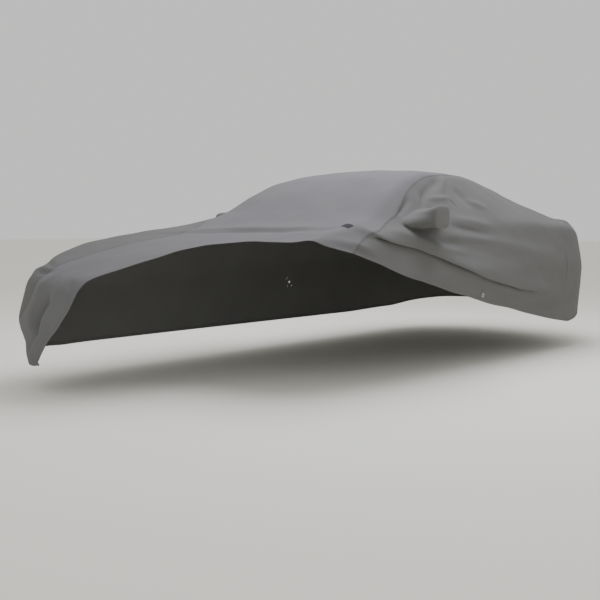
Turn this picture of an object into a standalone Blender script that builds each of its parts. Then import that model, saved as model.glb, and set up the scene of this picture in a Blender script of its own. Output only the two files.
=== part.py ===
"""Fitted car cover, hanging as if over a low coupe and drawn back off one front corner.

Metres, +Z up. The nose points to -X and the left side to -Y. Stations x run rearwards and
heights z are above the ground, and placed() moves both so that the origin lies under the
roof's highest point, on the inner face of the cloth.
"""
import bmesh
import bpy
import numpy as np
from mathutils import Vector
from mathutils.geometry import delaunay_2d_cdt

for old_object in list(bpy.data.objects):
    bpy.data.objects.remove(old_object, do_unlink=True)

# ---------------------------------------------------------------- driving dimensions
CLOTH = 0.002            # thickness of the cover cloth
SEAM_GAP = 0.0006        # between two pieces that are sewn together
ROOF_X = 1.62            # station of the roof's highest point
SPINE_FRONT = -0.15      # the cloth falls in fans round the two ends of this spine
SPINE_REAR = 3.05
CELL = 0.086             # spacing of the mesh on the plain cloth
LATTICE_REACH = 1.75     # cloth length from the centre line that the mesh's points cover
STRONG_FOLD = 0.016      # a fold of this height or more gets points of its own
FOLD_STEP = 0.07         # spacing of those points along it
CLEAR_OF_EDGE = 0.03     # least distance of a fold's point from an edge of the panel
CLEAR_OF_PLEAT = (0.02, 0.03)  # the same from the pleat's rows, beside them and past their end
FIRST_PLEAT_ROW = 0.05   # how far behind the pleat's start its first row stands
DIAGONAL = np.sqrt(0.5)  # share of a corner's length that runs along each of its two edges
CLEAR_OF_POINT = 0.026   # and from another point
ROW_CLEAR_OF_EDGE = 0.018   # least distance of a pleat's point from an edge
CELL_CLEAR_OF_EDGE = 0.5    # the same for the plain points, as shares of a cell
CELL_CLEAR_OF_POINT = 0.55

# Centre line and edge of the top: station, height on the centre line, half width of the
# top, height at that edge.
CROWN_COLUMNS = ("x", "centre", "edge", "edge_z")
CROWN = (
    (-0.95, 0.665, 0.66, 0.700),
    (-0.80, 0.725, 0.68, 0.765),
    (-0.45, 0.825, 0.78, 0.870),
    (-0.15, 0.880, 0.81, 0.930),
    (0.10, 0.915, 0.81, 0.965),
    (0.40, 0.970, 0.80, 1.000),
    (0.70, 1.095, 0.73, 1.060),
    (1.00, 1.255, 0.66, 1.220),
    (1.25, 1.355, 0.61, 1.325),
    (1.60, 1.410, 0.57, 1.385),
    (2.00, 1.390, 0.57, 1.370),
    (2.40, 1.305, 0.57, 1.290),
    (2.75, 1.195, 0.60, 1.190),
    (3.05, 1.105, 0.68, 1.098),
    (3.24, 1.070, 0.70, 1.060),
    (3.45, 1.056, 0.70, 1.046),
    (3.75, 1.045, 0.66, 1.036),
)
# Side wall between the two fans: half width and height of the shoulder, of the fullest
# line and of the hem.
WALL_COLUMNS = ("x", "shoulder", "shoulder_z", "full", "full_z", "hem", "hem_z")
WALL = (
    (-0.15, 0.900, 0.83, 0.960, 0.60, 0.915, 0.21),
    (0.40, 0.905, 0.88, 0.960, 0.62, 0.925, 0.21),
    (1.00, 0.870, 0.97, 0.960, 0.66, 0.925, 0.21),
    (1.60, 0.850, 1.00, 0.960, 0.69, 0.925, 0.21),
    (2.40, 0.875, 1.02, 0.965, 0.70, 0.925, 0.21),
    (3.05, 0.895, 1.00, 0.965, 0.70, 0.925, 0.225),
)
# The fans: degrees from straight ahead or straight behind, then distances from the end of
# the spine and heights of the top's edge, the shoulder, the fullest line and the hem.
FAN_COLUMNS = ("turn", "edge", "shoulder", "shoulder_z", "full", "full_z", "hem", "hem_z")
NOSE = (
    (0, 0.72, 0.785, 0.62, 0.805, 0.44, 0.775, 0.19),
    (25, 0.78, 0.865, 0.65, 0.885, 0.46, 0.845, 0.19),
    (45, 0.86, 0.985, 0.68, 1.060, 0.42, 0.985, 0.21),
    (55, 0.87, 1.000, 0.70, 1.092, 0.42, 1.005, 0.22),
    (70, 0.84, 0.970, 0.76, 1.015, 0.53, 0.945, 0.21),
    (90, 0.81, 0.900, 0.83, 0.960, 0.60, 0.915, 0.21),
)
TAIL = (
    (0, 0.68, 0.735, 0.93, 0.785, 0.64, 0.755, 0.30),
    (25, 0.72, 0.785, 0.93, 0.838, 0.64, 0.805, 0.30),
    (45, 0.77, 0.833, 0.93, 0.890, 0.65, 0.862, 0.30),
    (65, 0.80, 0.886, 0.94, 0.935, 0.66, 0.911, 0.275),
    (90, 0.68, 0.895, 1.00, 0.965, 0.70, 0.925, 0.225),
)
CROWN_POWER = 2.2        # how squarely the top falls from its centre line to its edge
ROUNDING = 0.035         # length over which the profile is rounded, as a share of its own
FAN_STEPS = 30
WALL_STEPS = 96
REACH = 2.10             # cloth length from the centre line that the form is worked out for
REACH_STEPS = 210
TOP_STEPS = 12           # straight runs from the centre line to the edge of the top
BELOW_HEM = 0.6          # how far down the form goes on past the hem
WIDEST_SHARE = 1.15      # the top keeps its height past this share of its half width


# ---------------------------------------------------------------- form of the cover
def column(table, columns, name, at, smooth_ends=False):
    """One named column of a table, read anywhere: a monotone cubic, constant past both ends.

    With smooth ends it also leaves both of them level.
    """
    rows = np.array(table, float)
    xs, ys = rows[:, 0], rows[:, columns.index(name)]
    step, slope = np.diff(xs), np.diff(ys) / np.diff(xs)
    tangent = np.concatenate([[slope[0]], np.zeros(len(xs) - 2), [slope[-1]]]) * (not smooth_ends)
    before, after = slope[:-1], slope[1:]
    same = before * after > 0
    heavy = 2 * step[1:] + step[:-1]
    light = step[1:] + 2 * step[:-1]
    tangent[1:-1][same] = (heavy + light)[same] / (
        heavy[same] / before[same] + light[same] / after[same])
    at = np.clip(np.asarray(at, float), xs[0], xs[-1])
    cell = np.clip(np.searchsorted(xs, at, side="right") - 1, 0, len(step) - 1)
    t = (at - xs[cell]) / step[cell]
    return (ys[cell] * (1 + 2 * t) * (1 - t) ** 2 + step[cell] * tangent[cell] * t * (1 - t) ** 2
            + ys[cell + 1] * t * t * (3 - 2 * t) - step[cell] * tangent[cell + 1] * t * t * (1 - t))


def crown_height(x, y):
    """Height of the top: the centre line, falling to the edge with a power of the width."""
    centre = column(CROWN, CROWN_COLUMNS, "centre", x)
    share = np.abs(y) / column(CROWN, CROWN_COLUMNS, "edge", x)
    edge_z = column(CROWN, CROWN_COLUMNS, "edge_z", x)
    return centre - (centre - edge_z) * np.minimum(share, WIDEST_SHARE) ** CROWN_POWER


def stations():
    """Feet and outward directions of the profiles, from straight ahead to straight behind."""
    ahead = np.radians(np.linspace(0, 90, FAN_STEPS + 1))[:-1]
    beside = np.linspace(SPINE_FRONT, SPINE_REAR, WALL_STEPS + 1)
    behind = np.radians(np.linspace(90, 0, FAN_STEPS + 1))[1:]
    feet = np.concatenate([np.full(FAN_STEPS, SPINE_FRONT), beside,
                           np.full(FAN_STEPS, SPINE_REAR)])
    out_x = np.concatenate([-np.cos(ahead), np.zeros(len(beside)), np.cos(behind)])
    out_y = np.concatenate([np.sin(ahead), np.ones(len(beside)), np.sin(behind)])
    rings = []
    for name in ("edge", "shoulder", "full", "hem"):
        middle = CROWN if name == "edge" else WALL
        middle_columns = CROWN_COLUMNS if name == "edge" else WALL_COLUMNS
        rings.append(np.concatenate([
            column(NOSE, FAN_COLUMNS, name, np.degrees(ahead), True),
            column(middle, middle_columns, name, beside),
            column(TAIL, FAN_COLUMNS, name, np.degrees(behind), True)]))
    heights = []
    for name in ("shoulder_z", "full_z", "hem_z"):
        heights.append(np.concatenate([
            column(NOSE, FAN_COLUMNS, name, np.degrees(ahead), True),
            column(WALL, WALL_COLUMNS, name, beside),
            column(TAIL, FAN_COLUMNS, name, np.degrees(behind), True)]))
    return feet, out_x, out_y, rings, heights


def profiles():
    """Distance out and height of every profile at equal steps of cloth length.

    The top's height, then straight runs to the shoulder, the fullest line and the hem, all
    rounded by two moving averages that see the profile mirrored at the centre line.
    """
    feet, out_x, out_y, rings, heights = stations()
    out = rings[0][:, None] * np.linspace(0, 1, TOP_STEPS + 1)
    top = crown_height(feet[:, None] + out * out_x[:, None], out * out_y[:, None])
    below = (rings[3] - rings[2]) / (heights[1] - heights[2])
    out = np.column_stack([out, rings[1], rings[2], rings[3], rings[3] + BELOW_HEM * below])
    height = np.column_stack([top, heights[0], heights[1], heights[2], heights[2] - BELOW_HEM])
    spread = np.zeros((len(feet), REACH_STEPS + 1))
    rise = np.zeros_like(spread)
    hem_length = np.zeros(len(feet))
    fine = np.linspace(0, REACH, 4 * REACH_STEPS + 1)
    kernel = np.ones(2 * int(ROUNDING * len(fine) / 2) + 1)
    kernel = np.convolve(kernel, kernel)
    kernel /= kernel.sum()
    for number in range(len(feet)):
        run = np.hypot(np.diff(out[number]), np.diff(height[number]))
        length = np.concatenate([[0], np.cumsum(run)])
        mirrored = np.concatenate([-fine[:0:-1], fine])
        far = np.interp(np.abs(mirrored), length, out[number]) * np.sign(mirrored)
        high = np.interp(np.abs(mirrored), length, height[number])
        if abs(out_x[number]) > 0.01:
            back = feet[number] - fine[:0:-1] * out_x[number]
            high[:len(fine) - 1] = crown_height(back, fine[:0:-1] * out_y[number])
        far = np.convolve(far, kernel, "same")[len(fine) - 1:]
        high = np.convolve(high, kernel, "same")[len(fine) - 1:]
        walked = np.concatenate([[0], np.cumsum(np.hypot(np.diff(far), np.diff(high)))])
        even = np.linspace(0, REACH, REACH_STEPS + 1)
        spread[number] = np.interp(even, walked, far)
        rise[number] = np.interp(even, walked, high)
        hem_length[number] = np.interp(heights[2][number], high[::-1], walked[::-1])
    return spread, rise, hem_length


SPREAD, RISE, HEM_LENGTH = profiles()


def station_number(p, q):
    """Place of a pattern point among the stations, as a real number."""
    across = np.abs(q)
    ahead = np.degrees(np.arctan2(across, np.maximum(SPINE_FRONT - p, 1e-9)))
    behind = np.degrees(np.arctan2(across, np.maximum(p - SPINE_REAR, 1e-9)))
    beside = (p - SPINE_FRONT) / (SPINE_REAR - SPINE_FRONT) * WALL_STEPS
    number = FAN_STEPS + np.clip(beside, 0, WALL_STEPS)
    number = np.where(p < SPINE_FRONT, FAN_STEPS * ahead / 90, number)
    return np.where(p > SPINE_REAR, 2 * FAN_STEPS + WALL_STEPS - FAN_STEPS * behind / 90, number)


def body(p, q):
    """Points of the smooth cover at pattern points: p along it and q across it.

    Between the spine's ends, q is the cloth length from the centre line. Past them, the
    cloth length is the distance from the spine's end.
    """
    p, q = np.broadcast_arrays(np.asarray(p, float), np.asarray(q, float))
    foot = np.clip(p, SPINE_FRONT, SPINE_REAR)
    length = np.hypot(p - foot, q)
    safe = np.maximum(length, 1e-9)
    number = np.clip(station_number(p, q), 0, len(SPREAD) - 1)
    row = np.minimum(number.astype(int), len(SPREAD) - 2)
    step = np.clip(length / REACH * REACH_STEPS, 0, REACH_STEPS - 1e-6)
    cell = step.astype(int)
    u, v = number - row, step - cell
    points = []
    for grid in (SPREAD, RISE):
        points.append((1 - u) * ((1 - v) * grid[row, cell] + v * grid[row, cell + 1])
                      + u * ((1 - v) * grid[row + 1, cell] + v * grid[row + 1, cell + 1]))
    out, height = points
    return np.stack([foot + out * (p - foot) / safe, out * q / safe, height], axis=-1)


# ---------------------------------------------------------------- folds of the cloth
# Soft ridges (+) and troughs (-). Columns: route over the pattern, height, and half widths
# towards the centre line's side and towards the hem's side of the route.
FOLDS = (
    # drawn across the top: the step under the ledge, and the sunk band by the cut edge
    (((-0.10, 0.75), (0.14, 0.56), (0.30, 0.36), (0.385, -0.03), (0.385, -0.40), (0.37, -0.66),
      (0.41, -0.84), (0.50, -0.93)), -0.012, 0.018, 0.05),
    (((-0.02, 0.78), (0.20, 0.58), (0.37, 0.36), (0.435, -0.03), (0.435, -0.40), (0.42, -0.66),
      (0.47, -0.82), (0.57, -0.90)), 0.013, 0.09, 0.020),
    (((0.10, 0.25), (0.06, -0.35), (0.10, -0.95)), -0.006, 0.20, 0.20),
    (((0.08, -0.38), (0.10, -0.80), (0.24, -1.20)), -0.036, 0.20, 0.20),
    # over the nose and down beside its hanging strip
    (((-0.66, 0.82), (-0.73, 0.68), (-0.78, 0.56), (-0.82, 0.42)), -0.010, 0.020, 0.020),
    (((-0.72, 0.92), (-0.79, 0.74), (-0.83, 0.56), (-0.84, 0.44)), 0.012, 0.032, 0.035),
    (((-0.80, 0.72), (-0.84, 0.58), (-0.845, 0.50), (-0.83, 0.40)), -0.016, 0.020, 0.020),
    (((-0.76, 0.42), (-0.88, 0.385), (-0.95, 0.42), (-1.00, 0.47), (-1.05, 0.55), (-1.11, 0.63),
      (-1.20, 0.76)), 0.018, 0.035, 0.045),
    (((-0.93, 0.31), (-1.04, 0.34), (-1.12, 0.44), (-1.19, 0.57), (-1.24, 0.76)),
     -0.040, 0.025, 0.050),
    (((-0.84, 0.34), (-0.96, 0.235), (-1.057, 0.272), (-1.105, 0.336), (-1.148, 0.417),
      (-1.228, 0.616), (-1.275, 0.78), (-1.33, 1.02)), 0.024, 0.070, 0.016),
    (((-1.22, 0.76), (-1.29, 0.94), (-1.38, 1.16)), 0.036, 0.055, 0.055),
    (((-0.90, 0.18), (-0.98, 0.10), (-1.06, 0.08)), -0.010, 0.030, 0.030),
    # the roll over the pleat, and the band under it
    (((0.66, -0.86), (0.80, -0.92), (0.95, -1.01), (1.14, -1.12), (1.42, -1.25)), 0.018, 0.04, 0.04),
    (((0.10, -0.84), (0.29, -0.88), (0.42, -0.94), (0.60, -1.02)), 0.009, 0.025, 0.025),
    (((0.20, -0.90), (0.40, -0.98), (0.60, -1.07)), -0.009, 0.025, 0.025),
    (((1.60, -1.40), (1.90, -1.48), (2.45, -1.54)), 0.010, 0.03, 0.03),
    (((2.15, -1.58), (2.60, -1.57), (3.00, -1.52), (3.35, -1.42)), -0.018, 0.05, 0.05),
    # drawn down from the roof to the left mirror pocket
    (((0.90, -0.85), (1.05, -0.80), (1.20, -0.74)), -0.013, 0.025, 0.025),
    (((1.24, -0.80), (1.36, -0.75), (1.52, -0.69), (1.70, -0.62)), -0.012, 0.035, 0.035),
    (((1.40, -0.72), (1.30, -0.80), (1.22, -0.89)), -0.011, 0.022, 0.022),
    (((1.76, -0.58), (1.64, -0.68), (1.54, -0.79)), 0.012, 0.030, 0.030),
    (((1.32, -0.79), (1.50, -0.80), (1.68, -0.80)), 0.010, 0.020, 0.020),
    (((1.74, -0.68), (1.80, -0.76), (1.88, -0.88)), -0.013, 0.045, 0.045),
    # trailing from the pocket along the left side
    (((1.78, -0.78), (1.90, -0.83), (2.08, -0.88)), 0.010, 0.030, 0.030),
    (((1.42, -0.96), (1.72, -1.00), (2.05, -1.05)), 0.010, 0.035, 0.030),
    (((1.38, -1.02), (1.66, -1.07), (1.95, -1.11)), -0.011, 0.025, 0.025),
    (((1.18, -1.05), (1.64, -1.13), (2.16, -1.16)), 0.012, 0.035, 0.035),
    (((1.66, -1.13), (2.02, -1.18), (2.45, -1.18), (2.95, -1.16)), 0.013, 0.055, 0.070),
    (((1.10, -1.07), (1.32, -1.13), (1.56, -1.18)), -0.011, 0.025, 0.025),
    (((1.16, -1.14), (1.38, -1.20), (1.62, -1.25)), 0.009, 0.025, 0.025),
)
FOLD_FADE = 0.4          # share of a fold's route over which it rises at each end
# The pleat: the line of its fold over the pattern.
PLEAT_LINE = ((0.40, 0.790), (0.54, 0.872), (0.63, 0.918), (0.72, 0.945), (0.92, 1.043),
              (1.13, 1.160), (1.32, 1.257), (1.54, 1.342), (1.80, 1.414), (2.23, 1.475),
              (2.95, 1.492))
# Stations where it grows from nothing and dies away again. The cloth stands off the wall
# before it doubles back, so that its layers stay apart.
PLEAT_STANDS = (0.42, 0.58)
PLEAT_DOUBLES = (0.52, 0.72)
PLEAT_SINGLES = (2.15, 2.60)
PLEAT_LIES = (2.45, 2.90)
PLEAT_RAMP_STEP = 0.022  # spacing of the mesh while the pleat grows
PLEAT_SLOPE_RUN = 0.1    # length over which the slope of its line is read
# Across the fold. Columns: cloth length from its line, then where that cloth lies down the
# wall and out from it at full depth.
PLEAT = (
    (-0.160, -0.160, 0.000),
    (-0.090, -0.084, 0.009),
    (-0.045, -0.028, 0.020),
    (-0.022, 0.004, 0.024),
    (-0.010, 0.020, 0.0225),
    (-0.004, 0.0240, 0.0175),
    (0.002, 0.0200, 0.0130),
    (0.011, -0.004, 0.0095),
    (0.019, -0.0225, 0.0070),
    (0.0235, -0.0255, 0.0030),
    (0.029, -0.0205, -0.0005),
    (0.044, 0.016, -0.0010),
    (0.070, 0.068, 0.0000),
    (0.100, 0.100, 0.0000),
)


def beside_route(p, q, route):
    """Distance from a route, on which side of it, and how far along it, from 0 to 1."""
    corners = np.array(route, float)
    runs = np.linalg.norm(np.diff(corners, axis=0), axis=1)
    walked = np.concatenate([[0], np.cumsum(runs)]) / runs.sum()
    nearest = np.full(p.shape, np.inf)
    side = np.zeros(p.shape)
    along = np.zeros(p.shape)
    for number, (start, end) in enumerate(zip(corners[:-1], corners[1:])):
        way = end - start
        share = np.clip(((p - start[0]) * way[0] + (q - start[1]) * way[1]) / (way @ way), 0, 1)
        gap_p = p - start[0] - share * way[0]
        gap_q = q - start[1] - share * way[1]
        gap = np.hypot(gap_p, gap_q)
        closer = gap < nearest
        nearest = np.where(closer, gap, nearest)
        side = np.where(closer, np.sign(way[0] * gap_q - way[1] * gap_p), side)
        along = np.where(closer, walked[number] + share * (walked[number + 1] - walked[number]), along)
    return nearest, side, along


def fold_height(p, q):
    """Sum of the soft folds: a bell across each route that dies away at both its ends."""
    total = np.zeros(p.shape)
    for route, height, inner, outer in FOLDS:
        gap, side, along = beside_route(p, q, route)
        width = np.where(side > 0, inner, outer)
        fade = soft_step(along, 0, FOLD_FADE) * soft_step(1 - along, 0, FOLD_FADE)
        total += height * np.exp(-(gap / width) ** 2) * fade
    return total


def soft_step(value, start, end):
    """0 before start and 1 after end, with a smooth rise between them."""
    share = np.clip((value - start) / (end - start), 0, 1)
    return share * share * (3 - 2 * share)


def pleat_lie(p):
    """Cloth length from the centre line to the pleat, and the cosine of the pleat's slope."""
    names = ("p", "depth")
    depth = column(PLEAT_LINE, names, "depth", p)
    ahead = column(PLEAT_LINE, names, "depth", p - PLEAT_SLOPE_RUN / 2)
    behind = column(PLEAT_LINE, names, "depth", p + PLEAT_SLOPE_RUN / 2)
    return depth, np.cos(np.arctan2(behind - ahead, PLEAT_SLOPE_RUN))


def pleat_offset(p, q):
    """How far the pleat moves each pattern point across the pattern, and out from the wall."""
    depth, lean = pleat_lie(p)
    across = (-q - depth) * lean
    stands = soft_step(p, *PLEAT_STANDS) * (1 - soft_step(p, *PLEAT_LIES))
    doubles = soft_step(p, *PLEAT_DOUBLES) * (1 - soft_step(p, *PLEAT_SINGLES))
    rows = np.array(PLEAT)
    inside = (across > rows[0, 0]) & (across < rows[-1, 0]) & (q < 0)
    down = np.interp(across, rows[:, 0], rows[:, 1]) - across
    out = np.interp(across, rows[:, 0], rows[:, 2])
    return np.where(inside, -doubles * down / lean, 0), np.where(inside, stands * out, 0)


def cover(p, q):
    """Points of the draped cover: the smooth form, its folds and its pleat.

    The pleat's layers are first laid over one another on the form, and then all of them
    follow the folds of the place where they lie.
    """
    p, q = np.broadcast_arrays(np.asarray(p, float), np.asarray(q, float))
    shift, out = pleat_offset(p, q)
    q = q + shift
    small = 0.004
    along = body(p + small, q) - body(p - small, q)
    across = body(p, q + small) - body(p, q - small)
    normal = np.cross(along, across)
    normal /= np.linalg.norm(normal, axis=-1, keepdims=True)
    return body(p, q) + normal * (out + fold_height(p, q))[..., None]


# ---------------------------------------------------------------- outlines on the pattern
# The hem where the cover is drawn back: along the left side up to the seam, then over the
# top and down the nose to the strip's lower corner.
SIDE_HEM = ((2.47, -1.67), (2.27, -1.66), (1.90, -1.62), (1.60, -1.555), (1.29, -1.46),
            (0.95, -1.29), (0.65, -1.11), (0.42, -1.01), (0.365, -0.985))
TOP_HEM = ((0.365, -0.985), (0.25, -0.928), (0.15, -0.865), (0.08, -0.76), (0.055, -0.55),
           (0.035, -0.35), (0.012, -0.195), (-0.09, -0.125), (-0.29, -0.115), (-0.51, -0.11),
           (-0.65, -0.09), (-0.76, -0.06), (-0.83, -0.02), (-0.91, 0.02), (-0.99, 0.04),
           (-1.07, 0.09), (-1.15, 0.18), (-1.21, 0.28), (-1.28, 0.51), (-1.345, 0.785))
STRIP_FOOT = ((-1.345, 0.785), (-1.325, 0.88), (-1.295, 0.96), (-1.262, 1.03))
LEFT_SEAM = ((0.365, -0.985), (0.43, -0.935), (0.53, -0.895), (0.66, -0.866), (0.815, -0.830),
             (0.94, -0.825), (1.03, -0.79), (1.14, -0.73), (1.28, -0.675), (1.45, -0.625),
             (1.60, -0.600), (1.80, -0.575), (2.10, -0.565), (2.40, -0.575), (2.75, -0.610),
             (3.05, -0.650), (3.40, -0.670), (3.75, -0.675), (4.05, -0.690))
RIGHT_SEAM = ((-0.95, 0.52), (-0.75, 0.50), (-0.45, 0.49), (-0.10, 0.49), (0.15, 0.50),
              (0.35, 0.55), (0.48, 0.63), (0.61, 0.70), (0.80, 0.76), (0.95, 0.76),
              (1.03, 0.745), (1.14, 0.715), (1.28, 0.670), (1.45, 0.625), (1.60, 0.600),
              (1.80, 0.575), (2.10, 0.565), (2.40, 0.575), (2.75, 0.610), (3.05, 0.650),
              (3.40, 0.670), (3.75, 0.675), (4.05, 0.690))
NOSE_SEAM_TURN = 48      # degrees at which the right seam meets the hem at the nose
TAIL_SEAM_TURN = 30      # the same for both seams at the tail
STRIP_TURN = 46          # where the strip's lower edge runs into the plain hem
HEM_STEP = 0.07          # spacing of the points along the drawn-back hem
FAN_HEM_TURN = 4.5       # degrees between the points of the plain hem round the ends


def hem_point(turn, end):
    """Pattern point of the plain hem, at a turn from straight ahead or behind (end -1 or 1)."""
    number = FAN_STEPS * turn / 90
    if end > 0:
        number = 2 * FAN_STEPS + WALL_STEPS - number
    length = np.interp(number, np.arange(len(HEM_LENGTH)), HEM_LENGTH)
    foot = SPINE_REAR if end > 0 else SPINE_FRONT
    return foot + end * length * np.cos(np.radians(turn)), length * np.sin(np.radians(turn))


def fan_hem(first, last, end, side):
    """Points of the plain hem round one end, between two turns."""
    count = int(abs(last - first) / FAN_HEM_TURN) + 2
    points = [hem_point(turn, end) for turn in np.linspace(first, last, count)]
    return [(p, side * q) for p, q in points]


def curve(points, spacing):
    """Even steps along a monotone cubic through the points."""
    corners = np.array(points, float)
    runs = np.linalg.norm(np.diff(corners, axis=0), axis=1)
    walked = np.concatenate([[0], np.cumsum(runs)])
    names = ("walked", "p", "q")
    table = np.column_stack([walked, corners])
    at = np.linspace(0, walked[-1], max(2, int(round(walked[-1] / spacing)) + 1))
    return np.column_stack([column(table, names, name, at) for name in names[1:]])


# ---------------------------------------------------------------- sewn-on and fitted pieces
POCKET_POINTS = 24
POCKET_FLANGE = 0.008    # flat edge of a pocket, sewn beside the panel
POCKET_BASE = ((0.915, 0.862), (0.915, 0.935), (1.13, 1.010), (1.34, 1.000), (1.42, 0.925),
               (1.31, 0.862), (1.12, 0.853))
POCKET_TIP = (1.113, 1.007, 1.062)        # middle of the pocket's outer end
POCKET_TIP_WAY = (0.27, -0.07)            # its end runs back and inwards
POCKET_TIP_HALF = (0.138, 0.074)          # half its length and half its height
POCKET_TIP_SWELL = 0.016
POCKET_RIGHT_SAGS = 0.036                 # the right pocket's end hangs lower than the left's
LOOP_FINENESS = 8        # steps of a closed outline for each point that is kept
LOOP_ROUNDING = 9        # steps to either side over which its corners are rounded
POCKET_SAG = ((0.30, 0.02), (0.65, 0.05))  # share of the way out, and how far the cloth sags in
EYELET_AT = (1.72, 1.54)
EYELET_PATCH = 0.035     # radius of the round of cloth that holds an eyelet ring
EYELET_FLAT = 0.020
EYELET_HOLE = 0.009
EYELET_POINTS = 20
# Half of an eyelet ring cut through: radius, and height out of the cloth.
EYELET_RING = ((0.0070, -0.0020), (0.0150, -0.0022), (0.0158, -0.0014), (0.0086, -0.0014),
               (0.0086, 0.0014), (0.0158, 0.0014), (0.0150, 0.0026), (0.0110, 0.0034),
               (0.0072, 0.0026))
LABEL_AT = (0.452, -0.772)
LABEL_HALF = (0.026, 0.028)
LABEL_CELLS = (2, 3)
LABEL_THICK = 0.0012
LABEL_GAP = 0.0006


def closed_loop(corners, count):
    """Even points round a closed outline that is rounded by a moving average."""
    loop = np.array(corners + corners[:1], float)
    runs = np.linalg.norm(np.diff(loop, axis=0), axis=1)
    walked = np.concatenate([[0], np.cumsum(runs)])
    fine = np.linspace(0, walked[-1], LOOP_FINENESS * count, endpoint=False)
    points = np.column_stack([np.interp(fine, walked, loop[:, k]) for k in (0, 1)])
    window = range(-LOOP_ROUNDING, LOOP_ROUNDING + 1)
    rounded = sum(np.roll(points, shift, axis=0) for shift in window) / len(window)
    return rounded[::LOOP_FINENESS]


def grown(loop, amount):
    """The loop moved outwards, square to its own run."""
    before, after = np.roll(loop, 1, axis=0), np.roll(loop, -1, axis=0)
    way = after - before
    way /= np.linalg.norm(way, axis=1)[:, None]
    area = np.sum(loop[:, 0] * after[:, 1] - after[:, 0] * loop[:, 1])
    outward = np.column_stack([way[:, 1], -way[:, 0]]) * np.sign(area)
    return loop + amount * outward


def circle(centre, radius):
    turns = np.arange(EYELET_POINTS) * 2 * np.pi / EYELET_POINTS
    return np.column_stack([centre[0] + radius * np.cos(turns), centre[1] + radius * np.sin(turns)])


def pocket_base(side):
    """Outline of a mirror pocket on the pattern, on the left (-1) or right (1) side."""
    return closed_loop(tuple((p, side * q) for p, q in POCKET_BASE), POCKET_POINTS)


def inside(points, loop):
    """Which points lie inside a loop, by counting the edges crossed on the way out."""
    start, end = loop, np.roll(loop, -1, axis=0)
    p, q = points[:, 0, None], points[:, 1, None]
    crosses = (start[:, 1] > q) != (end[:, 1] > q)
    rise = np.where(end[:, 1] == start[:, 1], 1e-12, end[:, 1] - start[:, 1])
    meets = start[:, 0] + (q - start[:, 1]) / rise * (end[:, 0] - start[:, 0])
    return (np.sum(crosses & (p < meets), axis=1) % 2) == 1


def clear_of(points, others, distance):
    """Which points keep a distance from all the others."""
    gaps = np.linalg.norm(points[:, None, :] - others[None, :, :], axis=2)
    return gaps.min(axis=1) > distance


def plain_lattice():
    """Staggered points over the whole pattern, one CELL apart on the cloth."""
    points = [(p, 0.0) for p in np.arange(SPINE_FRONT, SPINE_REAR + 0.01, CELL)]
    for ring in range(1, int(LATTICE_REACH / CELL)):
        length = ring * CELL
        shift = CELL / 2 * (ring % 2)
        beside = np.arange(SPINE_FRONT + shift, SPINE_REAR, CELL)
        for side in (-1, 1):
            points += [(p, side * length) for p in beside]
            for end, foot in ((-1, SPINE_FRONT), (1, SPINE_REAR)):
                middle = body(foot + end * length * DIAGONAL, length * DIAGONAL)
                radius = np.hypot(middle[0] - foot, middle[1])
                count = max(1, int(round(radius * np.pi / 2 / CELL)))
                turns = (np.arange(count) + 0.5 * (ring % 2)) / count * 90
                points += [(foot + end * length * np.cos(np.radians(turn)),
                            side * length * np.sin(np.radians(turn))) for turn in turns]
    return np.array(points)


def fold_points():
    """Points along the crests and feet of the stronger folds."""
    points = []
    for route, height, inner, outer in FOLDS:
        if abs(height) < STRONG_FOLD:
            continue
        crest = curve(route, FOLD_STEP)
        way = np.gradient(crest, axis=0)
        way /= np.linalg.norm(way, axis=1)[:, None]
        across = np.column_stack([-way[:, 1], way[:, 0]])
        points += [crest, crest + inner * across, crest - outer * across]
    return np.concatenate(points)


def pleat_rows():
    """Pattern points of each row across the pleat, one list for each row.

    They stand close together where the pleat doubles back and where it opens again.
    """
    p = np.concatenate([np.arange(PLEAT_STANDS[0] + FIRST_PLEAT_ROW, PLEAT_DOUBLES[1],
                                  PLEAT_RAMP_STEP),
                        np.arange(PLEAT_DOUBLES[1], PLEAT_SINGLES[0], CELL),
                        np.arange(PLEAT_SINGLES[0], PLEAT_LIES[1], 2 * PLEAT_RAMP_STEP)])
    depth, lean = pleat_lie(p)
    return [np.column_stack([p, -(depth + cloth / lean)]) for cloth, down, out in PLEAT[1:-1]]


def off_pleat(points):
    """Which points lie outside the band that the pleat's own rows cover."""
    depth, lean = pleat_lie(points[:, 0])
    across = (-points[:, 1] - depth) * lean
    side, past = CLEAR_OF_PLEAT
    beside = (across < PLEAT[1][0] - side) | (across > PLEAT[-2][0] + side)
    return beside | (points[:, 0] < PLEAT_STANDS[0]) | (points[:, 0] > PLEAT_LIES[1] + past)


def mesh_object(name, points, faces, material):
    mesh = bpy.data.meshes.new(name)
    mesh.from_pydata([tuple(point) for point in points], [], [tuple(face) for face in faces])
    mesh.materials.append(material)
    mesh.shade_smooth()
    piece = bpy.data.objects.new(name, mesh)
    bpy.context.collection.objects.link(piece)
    return piece


def thicken(piece, thickness):
    """Give a mid-surface its thickness, half to each side."""
    wall = piece.modifiers.new("Cloth thickness", "SOLIDIFY")
    wall.thickness = thickness
    wall.offset = 0
    return piece


def placed(points):
    """Move stations and heights so that the origin is under the roof."""
    return np.asarray(points) - np.array([ROOF_X, 0, ROOF_HEIGHT - CLOTH / 2])


def joined(*runs):
    """One closed loop from runs of points, each starting where the last one ends."""
    return np.concatenate([np.array(run, float)[:-1] for run in runs])


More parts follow.
